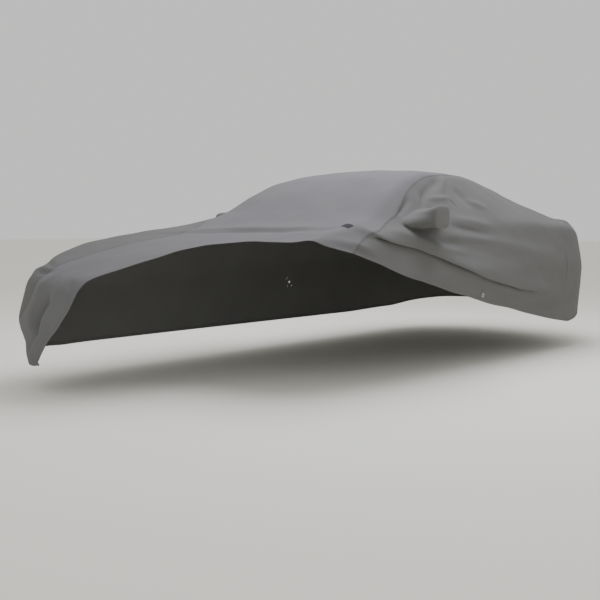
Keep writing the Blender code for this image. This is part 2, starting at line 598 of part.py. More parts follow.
def cut_panel(name, outline, material, holes=(), rows=(), blocks=()):
    """A panel of cloth: its outline on the pattern, triangulated and laid over the form.

    Holes are loops left open, rows are lines of points kept as edges, and blocks are single
    points that a piece on the cloth needs under it.
    """
    loop = grown(outline, -SEAM_GAP / 2)
    loops = [loop] + [grown(hole, SEAM_GAP / 2) for hole in holes]
    points = np.concatenate(loops)
    edges = []
    start = 0
    for ring in loops:
        edges += [(start + k, start + (k + 1) % len(ring)) for k in range(len(ring))]
        start += len(ring)
    border = points

    def fits(candidates, distance):
        kept = inside(candidates, loop) & clear_of(candidates, border, distance)
        for hole in loops[1:]:
            kept &= ~inside(candidates, hole)
        return kept

    for row in rows:
        good = fits(row, ROW_CLEAR_OF_EDGE)
        first = len(points)
        number = np.cumsum(good) - 1 + first
        edges += [(int(number[k]), int(number[k + 1])) for k in range(len(row) - 1)
                  if good[k] and good[k + 1]]
        points = np.concatenate([points, row[good]])
    if len(blocks):
        points = np.concatenate([points, blocks])
    spare, plain = FOLD_POINTS, LATTICE
    if len(rows):
        spare, plain = spare[off_pleat(spare)], plain[off_pleat(plain)]
    for point in spare:
        candidate = point[None, :]
        if fits(candidate, CLEAR_OF_EDGE)[0] and clear_of(candidate, points, CLEAR_OF_POINT)[0]:
            points = np.concatenate([points, candidate])
    plain = plain[fits(plain, CELL_CLEAR_OF_EDGE * CELL)]
    plain = plain[clear_of(plain, points, CELL_CLEAR_OF_POINT * CELL)]
    points = np.concatenate([points, plain])
    flat, _, triangles, _, _, _ = delaunay_2d_cdt(
        [Vector(point) for point in points], edges, [], 0, 1e-6)
    flat = np.array([tuple(point) for point in flat])
    triangles = np.array(triangles)
    middle = flat[triangles].mean(axis=1)
    kept = inside(middle, loop)
    for hole in loops[1:]:
        kept &= ~inside(middle, hole)
    triangles = triangles[kept]
    used, renumbered = np.unique(triangles, return_inverse=True)
    surface = placed(cover(flat[used, 0], flat[used, 1]))
    return thicken(mesh_object(name, surface, renumbered.reshape(-1, 3), material), CLOTH)


def make_pocket(name, side, material):
    """A mirror pocket: rings of cloth from its sewn edge out to its end, and a closed end."""
    base = grown(pocket_base(side), -SEAM_GAP / 2)
    flange = grown(base, -POCKET_FLANGE)
    rings = [cover(base[:, 0], base[:, 1]), cover(flange[:, 0], flange[:, 1])]
    middle = rings[1].mean(axis=0)
    reach = np.abs(rings[1] - middle).max(axis=0)
    turn = np.arctan2((rings[1][:, 2] - middle[2]) / reach[2], (rings[1][:, 0] - middle[0]) / reach[0])
    way = np.array(POCKET_TIP_WAY) / np.hypot(*POCKET_TIP_WAY)
    squarely = (np.abs(np.cos(turn)) ** 4 + np.abs(np.sin(turn)) ** 4) ** -0.25
    run = POCKET_TIP_HALF[0] * squarely * np.cos(turn)
    climb = POCKET_TIP_HALF[1] * squarely * np.sin(turn)
    sag = POCKET_RIGHT_SAGS if side > 0 else 0.0

    def end_ring(share, swell):
        return np.column_stack([POCKET_TIP[0] + share * run * way[0] + swell * way[1],
                                side * (POCKET_TIP[1] + share * run * way[1] + swell * way[0]),
                                POCKET_TIP[2] - sag + share * climb])

    tip = end_ring(1.0, 0.0)
    for share, pinch in POCKET_SAG:
        ring = rings[1] * (1 - share) + tip * share
        heart = middle * (1 - share) + tip.mean(axis=0) * share
        rings.append(ring + pinch * (heart - ring))
    rings += [tip, end_ring(0.86, 0.7 * POCKET_TIP_SWELL), end_ring(0.45, POCKET_TIP_SWELL)]
    points = np.concatenate(rings + [end_ring(0.0, POCKET_TIP_SWELL)[:1]])
    count, faces = POCKET_POINTS, []
    for ring in range(len(rings) - 1):
        for k in range(count):
            here, there = ring * count + k, ring * count + (k + 1) % count
            faces.append((here, there, there + count, here + count))
    last, centre = (len(rings) - 1) * count, len(rings) * count
    faces += [(last + k, last + (k + 1) % count, centre) for k in range(count)]
    piece = mesh_object(name, placed(points), faces, material)
    face_outwards(piece, (0, side, 0))
    return thicken(piece, CLOTH)


def face_outwards(piece, way):
    """Turn a sheet's faces so that, all together, they look the given way."""
    shape = bmesh.new()
    shape.from_mesh(piece.data)
    bmesh.ops.recalc_face_normals(shape, faces=shape.faces)
    facing = sum((face.normal * face.calc_area() for face in shape.faces), Vector())
    if facing.dot(Vector(way)) < 0:
        bmesh.ops.reverse_faces(shape, faces=shape.faces)
    shape.to_mesh(piece.data)
    shape.free()


def eyelet_frame(side):
    """Centre of an eyelet, and the cloth's directions along, down and out there."""
    p, q = EYELET_AT[0], side * EYELET_AT[1]
    centre = cover(p, q)
    along = cover(p + 0.01, q) - cover(p - 0.01, q)
    across = cover(p, q + 0.01) - cover(p, q - 0.01)
    along /= np.linalg.norm(along)
    out = np.cross(along, across)
    out /= np.linalg.norm(out)
    return centre, along, np.cross(out, along), out


def make_eyelet_patch(name, side, material):
    """The round of hem cloth that holds an eyelet: flat round the hole, true to the form outside."""
    centre, along, across, _ = eyelet_frame(side)
    middle = np.array([EYELET_AT[0], side * EYELET_AT[1]])
    rings = []
    for radius in (EYELET_PATCH - SEAM_GAP / 2, EYELET_FLAT, EYELET_HOLE):
        loop = circle(middle, radius)
        if radius > EYELET_FLAT:
            rings.append(cover(loop[:, 0], loop[:, 1]))
        else:
            flat = loop - middle
            rings.append(centre + flat[:, :1] * along + flat[:, 1:] * across)
    count, faces = EYELET_POINTS, []
    for ring in range(2):
        for k in range(count):
            here, there = ring * count + k, ring * count + (k + 1) % count
            faces.append((here, there, there + count, here + count))
    piece = mesh_object(name, placed(np.concatenate(rings)), faces, material)
    face_outwards(piece, (0, side, 0))
    return thicken(piece, CLOTH)


def make_eyelet_ring(name, side, material):
    """A two-flange metal ring, turned about the way out of the cloth."""
    centre, along, across, out = eyelet_frame(side)
    turns = np.arange(EYELET_POINTS) * 2 * np.pi / EYELET_POINTS
    points = [centre + radius * (np.cos(turn) * along + np.sin(turn) * across) + height * out
              for turn in turns for radius, height in EYELET_RING]
    steps, faces = len(EYELET_RING), []
    for k in range(EYELET_POINTS):
        for step in range(steps):
            here, there = k * steps, (k + 1) % EYELET_POINTS * steps
            beyond = (step + 1) % steps
            faces.append((here + step, there + step, there + beyond, here + beyond))
    piece = mesh_object(name, placed(points), faces, material)
    shape = bmesh.new()
    shape.from_mesh(piece.data)
    bmesh.ops.recalc_face_normals(shape, faces=shape.faces)
    shape.to_mesh(piece.data)
    shape.free()
    return piece


def label_grid():
    """Pattern points of the label, row by row."""
    p = LABEL_AT[0] + np.linspace(-1, 1, LABEL_CELLS[0] + 1) * LABEL_HALF[0]
    q = LABEL_AT[1] + np.linspace(-1, 1, LABEL_CELLS[1] + 1) * LABEL_HALF[1]
    return np.array([(a, b) for a in p for b in q])


def make_label(material):
    """The bare label patch, laid over the cloth it is sewn to."""
    grid = label_grid()
    small = 0.004
    here = cover(grid[:, 0], grid[:, 1])
    along = cover(grid[:, 0] + small, grid[:, 1]) - here
    across = cover(grid[:, 0], grid[:, 1] + small) - here
    out = np.cross(along, across)
    out /= np.linalg.norm(out, axis=1)[:, None]
    lift = CLOTH / 2 + LABEL_GAP + LABEL_THICK / 2
    columns = LABEL_CELLS[1] + 1
    faces = [(a * columns + b, (a + 1) * columns + b, (a + 1) * columns + b + 1, a * columns + b + 1)
             for a in range(LABEL_CELLS[0]) for b in range(LABEL_CELLS[1])]
    piece = mesh_object("label_patch", placed(here + lift * out), faces, material)
    return thicken(piece, LABEL_THICK)


def finish(name, colour, roughness, metallic=0.0):
    material = bpy.data.materials.new(name)
    material.use_nodes = True
    shader = material.node_tree.nodes["Principled BSDF"]
    shader.inputs["Base Color"].default_value = (*colour, 1)
    shader.inputs["Roughness"].default_value = roughness
    shader.inputs["Metallic"].default_value = metallic
    return material


# ---------------------------------------------------------------- making the pieces
ROOF_HEIGHT = float(cover(ROOF_X, 0.0)[2])
LATTICE = plain_lattice()
FOLD_POINTS = fold_points()

left_seam = curve(LEFT_SEAM + (tuple(np.array(hem_point(TAIL_SEAM_TURN, 1)) * (1, -1)),), CELL)
right_seam = curve((hem_point(NOSE_SEAM_TURN, -1),) + RIGHT_SEAM + (hem_point(TAIL_SEAM_TURN, 1),),
                   CELL)
side_hem = curve((tuple(np.array(hem_point(90, 1)) * (1, -1)),) + SIDE_HEM, CELL)
top_hem = curve(TOP_HEM, HEM_STEP)
strip_foot = curve(STRIP_FOOT + (hem_point(STRIP_TURN, -1),), HEM_STEP)
strip_to_seam = fan_hem(STRIP_TURN, NOSE_SEAM_TURN, -1, 1)
right_straight = [(p, np.interp(station_number(p, 1.0), np.arange(len(HEM_LENGTH)), HEM_LENGTH))
                  for p in np.linspace(SPINE_FRONT, SPINE_REAR, 38)]

centre_loop = joined(right_seam, fan_hem(TAIL_SEAM_TURN, 0, 1, 1), fan_hem(0, TAIL_SEAM_TURN, 1, -1),
                     left_seam[::-1], top_hem, strip_foot, strip_to_seam)
left_loop = joined(left_seam, fan_hem(TAIL_SEAM_TURN, 90, 1, -1), side_hem)
right_loop = joined(right_seam[::-1], fan_hem(NOSE_SEAM_TURN, 90, -1, 1), right_straight,
                    fan_hem(90, TAIL_SEAM_TURN, 1, 1))

centre_cloth = finish("Centre panel cloth", (0.28, 0.28, 0.28), 0.9)
side_cloth = finish("Side panel cloth", (0.19, 0.19, 0.185), 0.9)
pocket_cloth = finish("Mirror pocket cloth", (0.20, 0.20, 0.19), 0.9)
patch_cloth = finish("Hem cloth at the eyelet", (0.15, 0.15, 0.148), 0.9)
label_fabric = finish("Woven label", (0.06, 0.06, 0.062), 0.7)
ring_metal = finish("Nickel-plated brass", (0.55, 0.54, 0.50), 0.35, 1.0)

cut_panel("centre_panel", centre_loop, centre_cloth, blocks=label_grid())
for side, word, loop, rows in ((-1, "left", left_loop, pleat_rows()), (1, "right", right_loop, ())):
    middle = (EYELET_AT[0], side * EYELET_AT[1])
    holes = [pocket_base(side), circle(middle, EYELET_PATCH)]
    cut_panel(word + "_side_panel", loop, side_cloth, holes=holes, rows=rows)
    make_pocket(word + "_mirror_pocket", side, pocket_cloth)
    make_eyelet_patch(word + "_eyelet_patch", side, patch_cloth)
    make_eyelet_ring(word + "_eyelet_ring", side, ring_metal)
make_label(label_fabric)
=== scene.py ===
"""A fitted car cover of soft grey stretch cloth, hanging in the shape of a low coupe.

It is drawn back off the left front corner, so that a strip of its centre panel is left along
the right of the hood and down the nose, and a pleat hangs along the left side. Metres, +Z up,
the nose towards -X and the left side towards -Y. Sizes on the pattern are cloth lengths: p
runs from nose to tail, and q across it from the centre line, with the left side negative.
"""

import bmesh
import bpy
import numpy as np
from mathutils import Matrix, Vector


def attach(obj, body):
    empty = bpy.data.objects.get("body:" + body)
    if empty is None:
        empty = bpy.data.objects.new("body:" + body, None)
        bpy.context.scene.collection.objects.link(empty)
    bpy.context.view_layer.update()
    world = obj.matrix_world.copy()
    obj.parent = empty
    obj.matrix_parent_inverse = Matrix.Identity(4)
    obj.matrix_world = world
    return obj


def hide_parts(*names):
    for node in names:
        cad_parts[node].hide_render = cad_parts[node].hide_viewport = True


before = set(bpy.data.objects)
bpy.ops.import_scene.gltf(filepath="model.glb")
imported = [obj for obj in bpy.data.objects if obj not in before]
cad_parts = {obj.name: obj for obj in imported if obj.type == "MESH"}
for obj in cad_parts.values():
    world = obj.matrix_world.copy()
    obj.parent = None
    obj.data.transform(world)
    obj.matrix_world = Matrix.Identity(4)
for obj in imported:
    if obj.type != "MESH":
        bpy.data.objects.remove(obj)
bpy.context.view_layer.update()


# ------------------------------------------------------------------ the studio
# A pale floor and pale air under one large overhead softbox. The camera stands off the left
# front corner, 1.03 m above the floor.
GROUND_Z = -1.408856     # the floor lies this far below the roof's inner face
CAMERA_AT = (-5.2203, -4.2164, GROUND_Z + 1.03)
CAMERA_TURN = 46.565     # degrees from straight across the cover towards its tail
CAMERA_DIP = 5.142       # degrees below level
CAMERA_ROLL = 0.165
FRAME_WIDTH = 600
FOCAL_IN_FRAME = 873.25  # focal length, in pixels of that frame
SENSOR = 36.0
SOFTBOX_AT = (0.3, -0.2, 2.5)
SOFTBOX_AIM = (0.1, 0.0, 0.0)
SOFTBOX_SIZE = (4.0, 2.6)


def linear(colour):
    """An sRGB hex colour as linear RGBA."""
    parts = np.array([int(colour[k:k + 2], 16) for k in (1, 3, 5)]) / 255
    parts = np.where(parts <= 0.04045, parts / 12.92, ((parts + 0.055) / 1.055) ** 2.4)
    return (*parts.tolist(), 1.0)


def add_node(tree, kind, inputs=None, **settings):
    """One shader node: its settings, and its inputs as values or as other nodes' outputs."""
    made = tree.nodes.new(kind)
    for name, value in settings.items():
        setattr(made, name, value)
    for name, value in (inputs or {}).items():
        if isinstance(value, bpy.types.NodeSocket):
            tree.links.new(value, made.inputs[name])
        else:
            made.inputs[name].default_value = value
    return made


def new_material(name, roughness, metallic=0.0):
    """An empty Principled material, its node tree and its shader."""
    material = bpy.data.materials.new(name)
    material.use_nodes = True
    shader = material.node_tree.nodes["Principled BSDF"]
    shader.inputs["Roughness"].default_value = roughness
    shader.inputs["Metallic"].default_value = metallic
    return material, material.node_tree, shader


def link_to(name, data):
    """A new object in the scene, at the origin."""
    made = bpy.data.objects.new(name, data)
    bpy.context.collection.objects.link(made)
    return made


camera_data = bpy.data.cameras.new("Camera")
camera_data.sensor_width = SENSOR
camera_data.lens = FOCAL_IN_FRAME / FRAME_WIDTH * SENSOR
camera = link_to("Camera", camera_data)
camera.location = CAMERA_AT
camera.rotation_euler = (Matrix.Rotation(np.radians(-CAMERA_TURN), 3, "Z")
                         @ Matrix.Rotation(np.radians(90 - CAMERA_DIP), 3, "X")
                         @ Matrix.Rotation(np.radians(CAMERA_ROLL), 3, "Z")).to_euler()
bpy.context.scene.camera = camera

floor_mesh = bpy.data.meshes.new("Studio floor")
floor_mesh.from_pydata([(-40, -40, GROUND_Z), (40, -40, GROUND_Z), (40, 40, GROUND_Z),
                        (-40, 40, GROUND_Z)], [], [(0, 1, 2, 3)])
floor = link_to("Studio floor", floor_mesh)
floor_paint, _, floor_shader = new_material("Matt white studio floor", 0.9)
floor_shader.inputs["Base Color"].default_value = linear("#f3f2e8")
floor_mesh.materials.append(floor_paint)

studio_air = bpy.data.worlds.new("Studio air")
studio_air.use_nodes = True
backdrop = studio_air.node_tree.nodes["Background"]
backdrop.inputs["Color"].default_value = linear("#f5f5f4")
backdrop.inputs["Strength"].default_value = 0.85
bpy.context.scene.world = studio_air

softbox_data = bpy.data.lights.new("Overhead softbox", "AREA")
softbox_data.shape = "RECTANGLE"
softbox_data.size, softbox_data.size_y = SOFTBOX_SIZE
softbox_data.energy = 190
softbox_data.color = linear("#f2f0fc")[:3]
softbox = link_to("Overhead softbox", softbox_data)
softbox.location = SOFTBOX_AT
softbox.rotation_euler = (Vector(SOFTBOX_AIM) - Vector(SOFTBOX_AT)).to_track_quat("-Z", "Y").to_euler()


# ------------------------------------------------------------------ the centre panel
# One long cut of stretch cloth over the tail, the roof, the windshield and the hood, with the
# strip that hangs down the nose. Its two long edges are sewn to the side panels, and the
# drawn-back edge over the hood and along the strip is hemmed.
CLOTH_THICK = 0.0012
ROOF_X = 1.62            # station of the roof's highest point
SPINE_FRONT = -0.15      # the cloth falls in fans round the two ends of this spine
SPINE_REAR = 3.05

# Centre line and edge of the top: station, height on the centre line, half width of the
# top, height at that edge.
CROWN_COLUMNS = ("x", "centre", "edge", "edge_z")
CROWN = (
    (-0.95, 0.665, 0.66, 0.700),
    (-0.80, 0.725, 0.68, 0.765),
    (-0.45, 0.825, 0.78, 0.870),
    (-0.15, 0.880, 0.81, 0.930),
    (0.10, 0.915, 0.81, 0.965),
    (0.40, 0.970, 0.80, 1.000),
    (0.70, 1.095, 0.73, 1.060),
    (1.00, 1.255, 0.66, 1.220),
    (1.25, 1.355, 0.61, 1.325),
    (1.60, 1.410, 0.57, 1.385),
    (2.00, 1.390, 0.57, 1.370),
    (2.40, 1.305, 0.57, 1.290),
    (2.75, 1.195, 0.60, 1.190),
    (3.05, 1.105, 0.68, 1.098),
    (3.24, 1.070, 0.68, 1.060),
    (3.45, 1.056, 0.70, 1.046),
    (3.75, 1.045, 0.66, 1.036),
)
# Side wall between the two fans: half width and height of the shoulder, of the fullest
# line and of the hem.
WALL_COLUMNS = ("x", "shoulder", "shoulder_z", "full", "full_z", "hem", "hem_z")
WALL = (
    (-0.15, 0.900, 0.83, 0.960, 0.60, 0.915, 0.21),
    (0.40, 0.905, 0.88, 0.960, 0.62, 0.925, 0.21),
    (1.00, 0.870, 0.97, 0.960, 0.66, 0.925, 0.21),
    (1.60, 0.850, 1.00, 0.960, 0.69, 0.925, 0.21),
    (2.40, 0.875, 1.02, 0.965, 0.70, 0.925, 0.21),
    (3.05, 0.895, 1.00, 0.965, 0.70, 0.925, 0.225),
)
# The fans: degrees from straight ahead or straight behind, then distances from the end of
# the spine and heights of the top's edge, the shoulder, the fullest line and the hem.
FAN_COLUMNS = ("turn", "edge", "shoulder", "shoulder_z", "full", "full_z", "hem", "hem_z")
NOSE = (
    (0, 0.72, 0.785, 0.62, 0.805, 0.44, 0.775, 0.19),
    (25, 0.78, 0.865, 0.65, 0.885, 0.46, 0.845, 0.19),
    (45, 0.86, 0.985, 0.68, 1.060, 0.42, 0.985, 0.21),
    (55, 0.87, 1.000, 0.70, 1.092, 0.42, 1.005, 0.22),
    (70, 0.84, 0.970, 0.76, 1.015, 0.53, 0.945, 0.21),
    (90, 0.81, 0.900, 0.83, 0.960, 0.60, 0.915, 0.21),
)
TAIL = (
    (0, 0.68, 0.735, 0.93, 0.785, 0.64, 0.755, 0.30),
    (25, 0.72, 0.785, 0.93, 0.838, 0.64, 0.805, 0.30),
    (45, 0.77, 0.833, 0.93, 0.890, 0.65, 0.862, 0.30),
    (65, 0.80, 0.886, 0.94, 0.935, 0.66, 0.911, 0.275),
    (90, 0.68, 0.895, 1.00, 0.965, 0.70, 0.925, 0.225),
)
CROWN_POWER = 2.2        # how squarely the top falls from its centre line to its edge
ROUNDING = 0.035         # length over which a profile is rounded, as a share of its own
FAN_STEPS = 90
WALL_STEPS = 240
REACH = 2.10             # cloth length from the centre line that the form is worked out for
REACH_STEPS = 420
TOP_STEPS = 13           # points of a profile from the centre line to the top's edge
BELOW_HEM = 0.6          # how far a profile is carried on below the hem
WIDEST_SHARE = 1.15      # how far past its edge the top's curve is carried on
FORM_STEP = 0.006        # step over which the smooth form's direction is taken
CLOTH_STEP = 0.002       # the same for the folded cloth


def column(table, columns, name, at, smooth_ends=False):
    """One named column of a table, read anywhere: a monotone cubic, constant past both ends.

    With smooth ends it also leaves both of them level.
    """
    rows = np.array(table, float)
    xs, ys = rows[:, 0], rows[:, columns.index(name)]
    step, slope = np.diff(xs), np.diff(ys) / np.diff(xs)
    tangent = np.concatenate([[slope[0]], np.zeros(len(xs) - 2), [slope[-1]]]) * (not smooth_ends)
    before, after = slope[:-1], slope[1:]
    same = before * after > 0
    heavy, light = 2 * step[1:] + step[:-1], step[1:] + 2 * step[:-1]
    tangent[1:-1][same] = (heavy + light)[same] / (
        heavy[same] / before[same] + light[same] / after[same])
    at = np.clip(np.asarray(at, float), xs[0], xs[-1])
    cell = np.clip(np.searchsorted(xs, at, side="right") - 1, 0, len(step) - 1)
    t = (at - xs[cell]) / step[cell]
    return (ys[cell] * (1 + 2 * t) * (1 - t) ** 2 + step[cell] * tangent[cell] * t * (1 - t) ** 2
            + ys[cell + 1] * t * t * (3 - 2 * t) - step[cell] * tangent[cell + 1] * t * t * (1 - t))


def crown_height(x, y):
    """Height of the top: the centre line, falling to the edge with a power of the width."""
    centre = column(CROWN, CROWN_COLUMNS, "centre", x)
    share = np.abs(y) / column(CROWN, CROWN_COLUMNS, "edge", x)
    edge_z = column(CROWN, CROWN_COLUMNS, "edge_z", x)
    return centre - (centre - edge_z) * np.minimum(share, WIDEST_SHARE) ** CROWN_POWER


def stations():
    """Feet, outward directions, distances and heights of the profiles, from nose to tail."""
    ahead = np.linspace(0, 90, FAN_STEPS + 1)[:-1]
    beside = np.linspace(SPINE_FRONT, SPINE_REAR, WALL_STEPS + 1)
    behind = np.linspace(90, 0, FAN_STEPS + 1)[1:]
    feet = np.concatenate([np.full(FAN_STEPS, SPINE_FRONT), beside, np.full(FAN_STEPS, SPINE_REAR)])
    out_x = np.concatenate([-np.cos(np.radians(ahead)), 0 * beside, np.cos(np.radians(behind))])
    out_y = np.concatenate([np.sin(np.radians(ahead)), 0 * beside + 1, np.sin(np.radians(behind))])

    def whole(name, middle=WALL, middle_columns=WALL_COLUMNS):
        return np.concatenate([column(NOSE, FAN_COLUMNS, name, ahead, True),
                               column(middle, middle_columns, name, beside, True),
                               column(TAIL, FAN_COLUMNS, name, behind, True)])

    rings = [whole("edge", CROWN, CROWN_COLUMNS), whole("shoulder"), whole("full"), whole("hem")]
    heights = [whole("shoulder_z"), whole("full_z"), whole("hem_z")]
    return feet, out_x, out_y, rings, heights


def profiles():
    """Distance out and height of every profile at equal steps of cloth length.

    The top's height, then straight runs to the shoulder, the fullest line and the hem, all
    rounded by two moving averages that see the profile mirrored at the centre line.
    """
    feet, out_x, out_y, rings, heights = stations()
    out = rings[0][:, None] * np.linspace(0, 1, TOP_STEPS)
    top = crown_height(feet[:, None] + out * out_x[:, None], out * out_y[:, None])
    below = (rings[3] - rings[2]) / (heights[1] - heights[2])
    out = np.column_stack([out, rings[1], rings[2], rings[3], rings[3] + BELOW_HEM * below])
    height = np.column_stack([top, heights[0], heights[1], heights[2], heights[2] - BELOW_HEM])
    fine = np.linspace(0, REACH, 2 * REACH_STEPS + 1)
    even = np.linspace(0, REACH, REACH_STEPS + 1)
    mirrored = np.concatenate([-fine[:0:-1], fine])
    kernel = np.ones(2 * int(ROUNDING * len(fine) / 2) + 1)
    kernel = np.convolve(kernel, kernel)
    kernel /= kernel.sum()
    spread, rise, hem_length = [], [], []
    for number in range(len(feet)):
        run = np.hypot(np.diff(out[number]), np.diff(height[number]))
        length = np.concatenate([[0], np.cumsum(run)])
        far = np.interp(np.abs(mirrored), length, out[number]) * np.sign(mirrored)
        high = np.interp(np.abs(mirrored), length, height[number])
        if number < FAN_STEPS or number > FAN_STEPS + WALL_STEPS:
            back = feet[number] - fine[:0:-1] * out_x[number]
            high[:len(fine) - 1] = crown_height(back, fine[:0:-1] * out_y[number])
        far = np.convolve(far, kernel, "same")[len(fine) - 1:]
        high = np.convolve(high, kernel, "same")[len(fine) - 1:]
        walked = np.concatenate([[0], np.cumsum(np.hypot(np.diff(far), np.diff(high)))])
        spread.append(np.interp(even, walked, far))
        rise.append(np.interp(even, walked, high))
        hem_length.append(np.interp(heights[2][number], high[::-1], walked[::-1]))
    return np.array(spread), np.array(rise), np.array(hem_length)


SPREAD, RISE, HEM_LENGTH = profiles()


def station_number(p, q):
    """Place of a pattern point among the profiles, as a real number."""
    across = np.abs(q)
    ahead = np.degrees(np.arctan2(across, np.maximum(SPINE_FRONT - p, 1e-9)))
    behind = np.degrees(np.arctan2(across, np.maximum(p - SPINE_REAR, 1e-9)))
    beside = (p - SPINE_FRONT) / (SPINE_REAR - SPINE_FRONT) * WALL_STEPS
    number = FAN_STEPS + np.clip(beside, 0, WALL_STEPS)
    number = np.where(p < SPINE_FRONT, FAN_STEPS * ahead / 90, number)
    return np.where(p > SPINE_REAR, 2 * FAN_STEPS + WALL_STEPS - FAN_STEPS * behind / 90, number)


def body(p, q):
    """Points of the smooth cover: the profiles' grid, read by straight lines both ways."""
    foot = np.clip(p, SPINE_FRONT, SPINE_REAR)
    length = np.hypot(p - foot, q)
    safe = np.maximum(length, 1e-9)
    number = np.clip(station_number(p, q), 0, len(SPREAD) - 1)
    row = np.minimum(number.astype(int), len(SPREAD) - 2)
    step = np.clip(length / REACH * REACH_STEPS, 0, REACH_STEPS - 1e-6)
    cell = step.astype(int)
    u, v = number - row, step - cell
    out, height = [(1 - u) * ((1 - v) * grid[row, cell] + v * grid[row, cell + 1])
                   + u * ((1 - v) * grid[row + 1, cell] + v * grid[row + 1, cell + 1])
                   for grid in (SPREAD, RISE)]
    return np.stack([foot + out * (p - foot) / safe, out * q / safe, height], axis=-1)


FOLD_REACH = 2.6         # half widths after which a fold has died away across
FOLD_STEP = 0.06         # length of the straight runs that a route is cut into
FOLD_FADE = 0.4          # share of a fold's length over which it dies away at either end
# Soft ridges (+) and troughs (-). Columns: route over the pattern, height, and half widths
# towards the centre line's side and towards the hem's side of the route.
FOLDS = (
    # drawn across the top: the step under the ledge, and the sunk band by the cut edge
    (((-0.10, 0.75), (0.14, 0.56), (0.30, 0.36), (0.385, -0.03), (0.385, -0.40), (0.37, -0.66),
      (0.41, -0.84), (0.50, -0.93)), -0.012, 0.018, 0.05),
    (((-0.02, 0.78), (0.20, 0.58), (0.37, 0.36), (0.435, -0.03), (0.435, -0.40), (0.42, -0.66),
      (0.47, -0.82), (0.57, -0.90)), 0.013, 0.09, 0.020),
    (((0.10, 0.25), (0.06, -0.35), (0.10, -0.95)), -0.006, 0.20, 0.20),
    (((0.08, -0.38), (0.10, -0.80), (0.24, -1.20)), -0.036, 0.20, 0.20),
    # over the nose and down beside its hanging strip
    (((-0.66, 0.82), (-0.73, 0.68), (-0.78, 0.56), (-0.82, 0.42)), -0.010, 0.020, 0.020),
    (((-0.72, 0.92), (-0.79, 0.74), (-0.83, 0.56), (-0.84, 0.44)), 0.012, 0.032, 0.035),
    (((-0.80, 0.72), (-0.84, 0.58), (-0.845, 0.50), (-0.83, 0.40)), -0.016, 0.020, 0.020),
    (((-0.76, 0.42), (-0.88, 0.385), (-0.95, 0.42), (-1.00, 0.47), (-1.05, 0.55), (-1.11, 0.63),
      (-1.20, 0.76)), 0.018, 0.035, 0.045),
    (((-0.93, 0.31), (-1.04, 0.34), (-1.12, 0.44), (-1.19, 0.57), (-1.24, 0.76)),
     -0.050, 0.020, 0.050),
    (((-0.84, 0.34), (-0.96, 0.235), (-1.057, 0.272), (-1.105, 0.336), (-1.148, 0.417),
      (-1.228, 0.616), (-1.275, 0.78), (-1.33, 1.02)), 0.024, 0.070, 0.016),
    (((-1.22, 0.76), (-1.29, 0.94), (-1.38, 1.16)), 0.030, 0.110, 0.055),
    (((-0.90, 0.18), (-0.98, 0.10), (-1.06, 0.08)), -0.010, 0.030, 0.030),
    # the roll over the pleat, and the band under it
    (((0.66, -0.86), (0.80, -0.92), (0.95, -1.01), (1.14, -1.12), (1.42, -1.25)), 0.018, 0.04, 0.04),
    (((0.10, -0.84), (0.29, -0.88), (0.42, -0.94), (0.60, -1.02)), 0.009, 0.025, 0.025),
    (((0.20, -0.90), (0.40, -0.98), (0.60, -1.07)), -0.009, 0.025, 0.025),
    (((1.60, -1.40), (1.90, -1.48), (2.45, -1.54)), 0.010, 0.03, 0.03),
    (((2.15, -1.58), (2.60, -1.57), (3.00, -1.52), (3.35, -1.42)), -0.018, 0.05, 0.05),
    # drawn down from the roof to the left mirror pocket
    (((0.90, -0.85), (1.05, -0.80), (1.20, -0.74)), -0.013, 0.025, 0.025),
    (((1.24, -0.80), (1.36, -0.75), (1.52, -0.69), (1.70, -0.62)), -0.012, 0.035, 0.035),
    (((1.40, -0.72), (1.30, -0.80), (1.22, -0.89)), -0.011, 0.022, 0.022),
    (((1.76, -0.58), (1.64, -0.68), (1.54, -0.79)), 0.012, 0.030, 0.030),
    (((1.32, -0.79), (1.50, -0.80), (1.68, -0.80)), 0.010, 0.020, 0.020),
    (((1.74, -0.68), (1.80, -0.76), (1.88, -0.88)), -0.013, 0.045, 0.045),
    # trailing from the pocket along the left side
    (((1.78, -0.78), (1.90, -0.83), (2.08, -0.88)), 0.010, 0.030, 0.030),
    (((1.42, -0.96), (1.72, -1.00), (2.05, -1.05)), 0.010, 0.035, 0.030),
    (((1.38, -1.02), (1.66, -1.07), (1.95, -1.11)), -0.011, 0.025, 0.025),
    (((1.18, -1.05), (1.64, -1.13), (2.16, -1.16)), 0.012, 0.035, 0.035),
    (((1.66, -1.13), (2.02, -1.18), (2.45, -1.18), (2.95, -1.16)), 0.013, 0.055, 0.070),
    (((1.10, -1.07), (1.32, -1.13), (1.56, -1.18)), -0.011, 0.025, 0.025),
    (((1.16, -1.14), (1.38, -1.20), (1.62, -1.25)), 0.009, 0.025, 0.025),
)
# The pleat: the line of its fold over the pattern.
PLEAT_LINE = ((0.40, 0.790), (0.54, 0.872), (0.63, 0.918), (0.72, 0.945), (0.92, 1.043),
              (1.13, 1.160), (1.32, 1.257), (1.54, 1.342), (1.80, 1.414), (2.23, 1.475),
              (2.95, 1.492))
# Stations where it grows from nothing and dies away again. The cloth stands off the wall
# before it doubles back.
PLEAT_STANDS = (0.42, 0.58)
PLEAT_DOUBLES = (0.52, 0.72)
PLEAT_SINGLES = (2.15, 2.60)
PLEAT_LIES = (2.45, 2.90)
PLEAT_SLOPE_RUN = 0.05   # the pleat's slope is taken over this far to either side
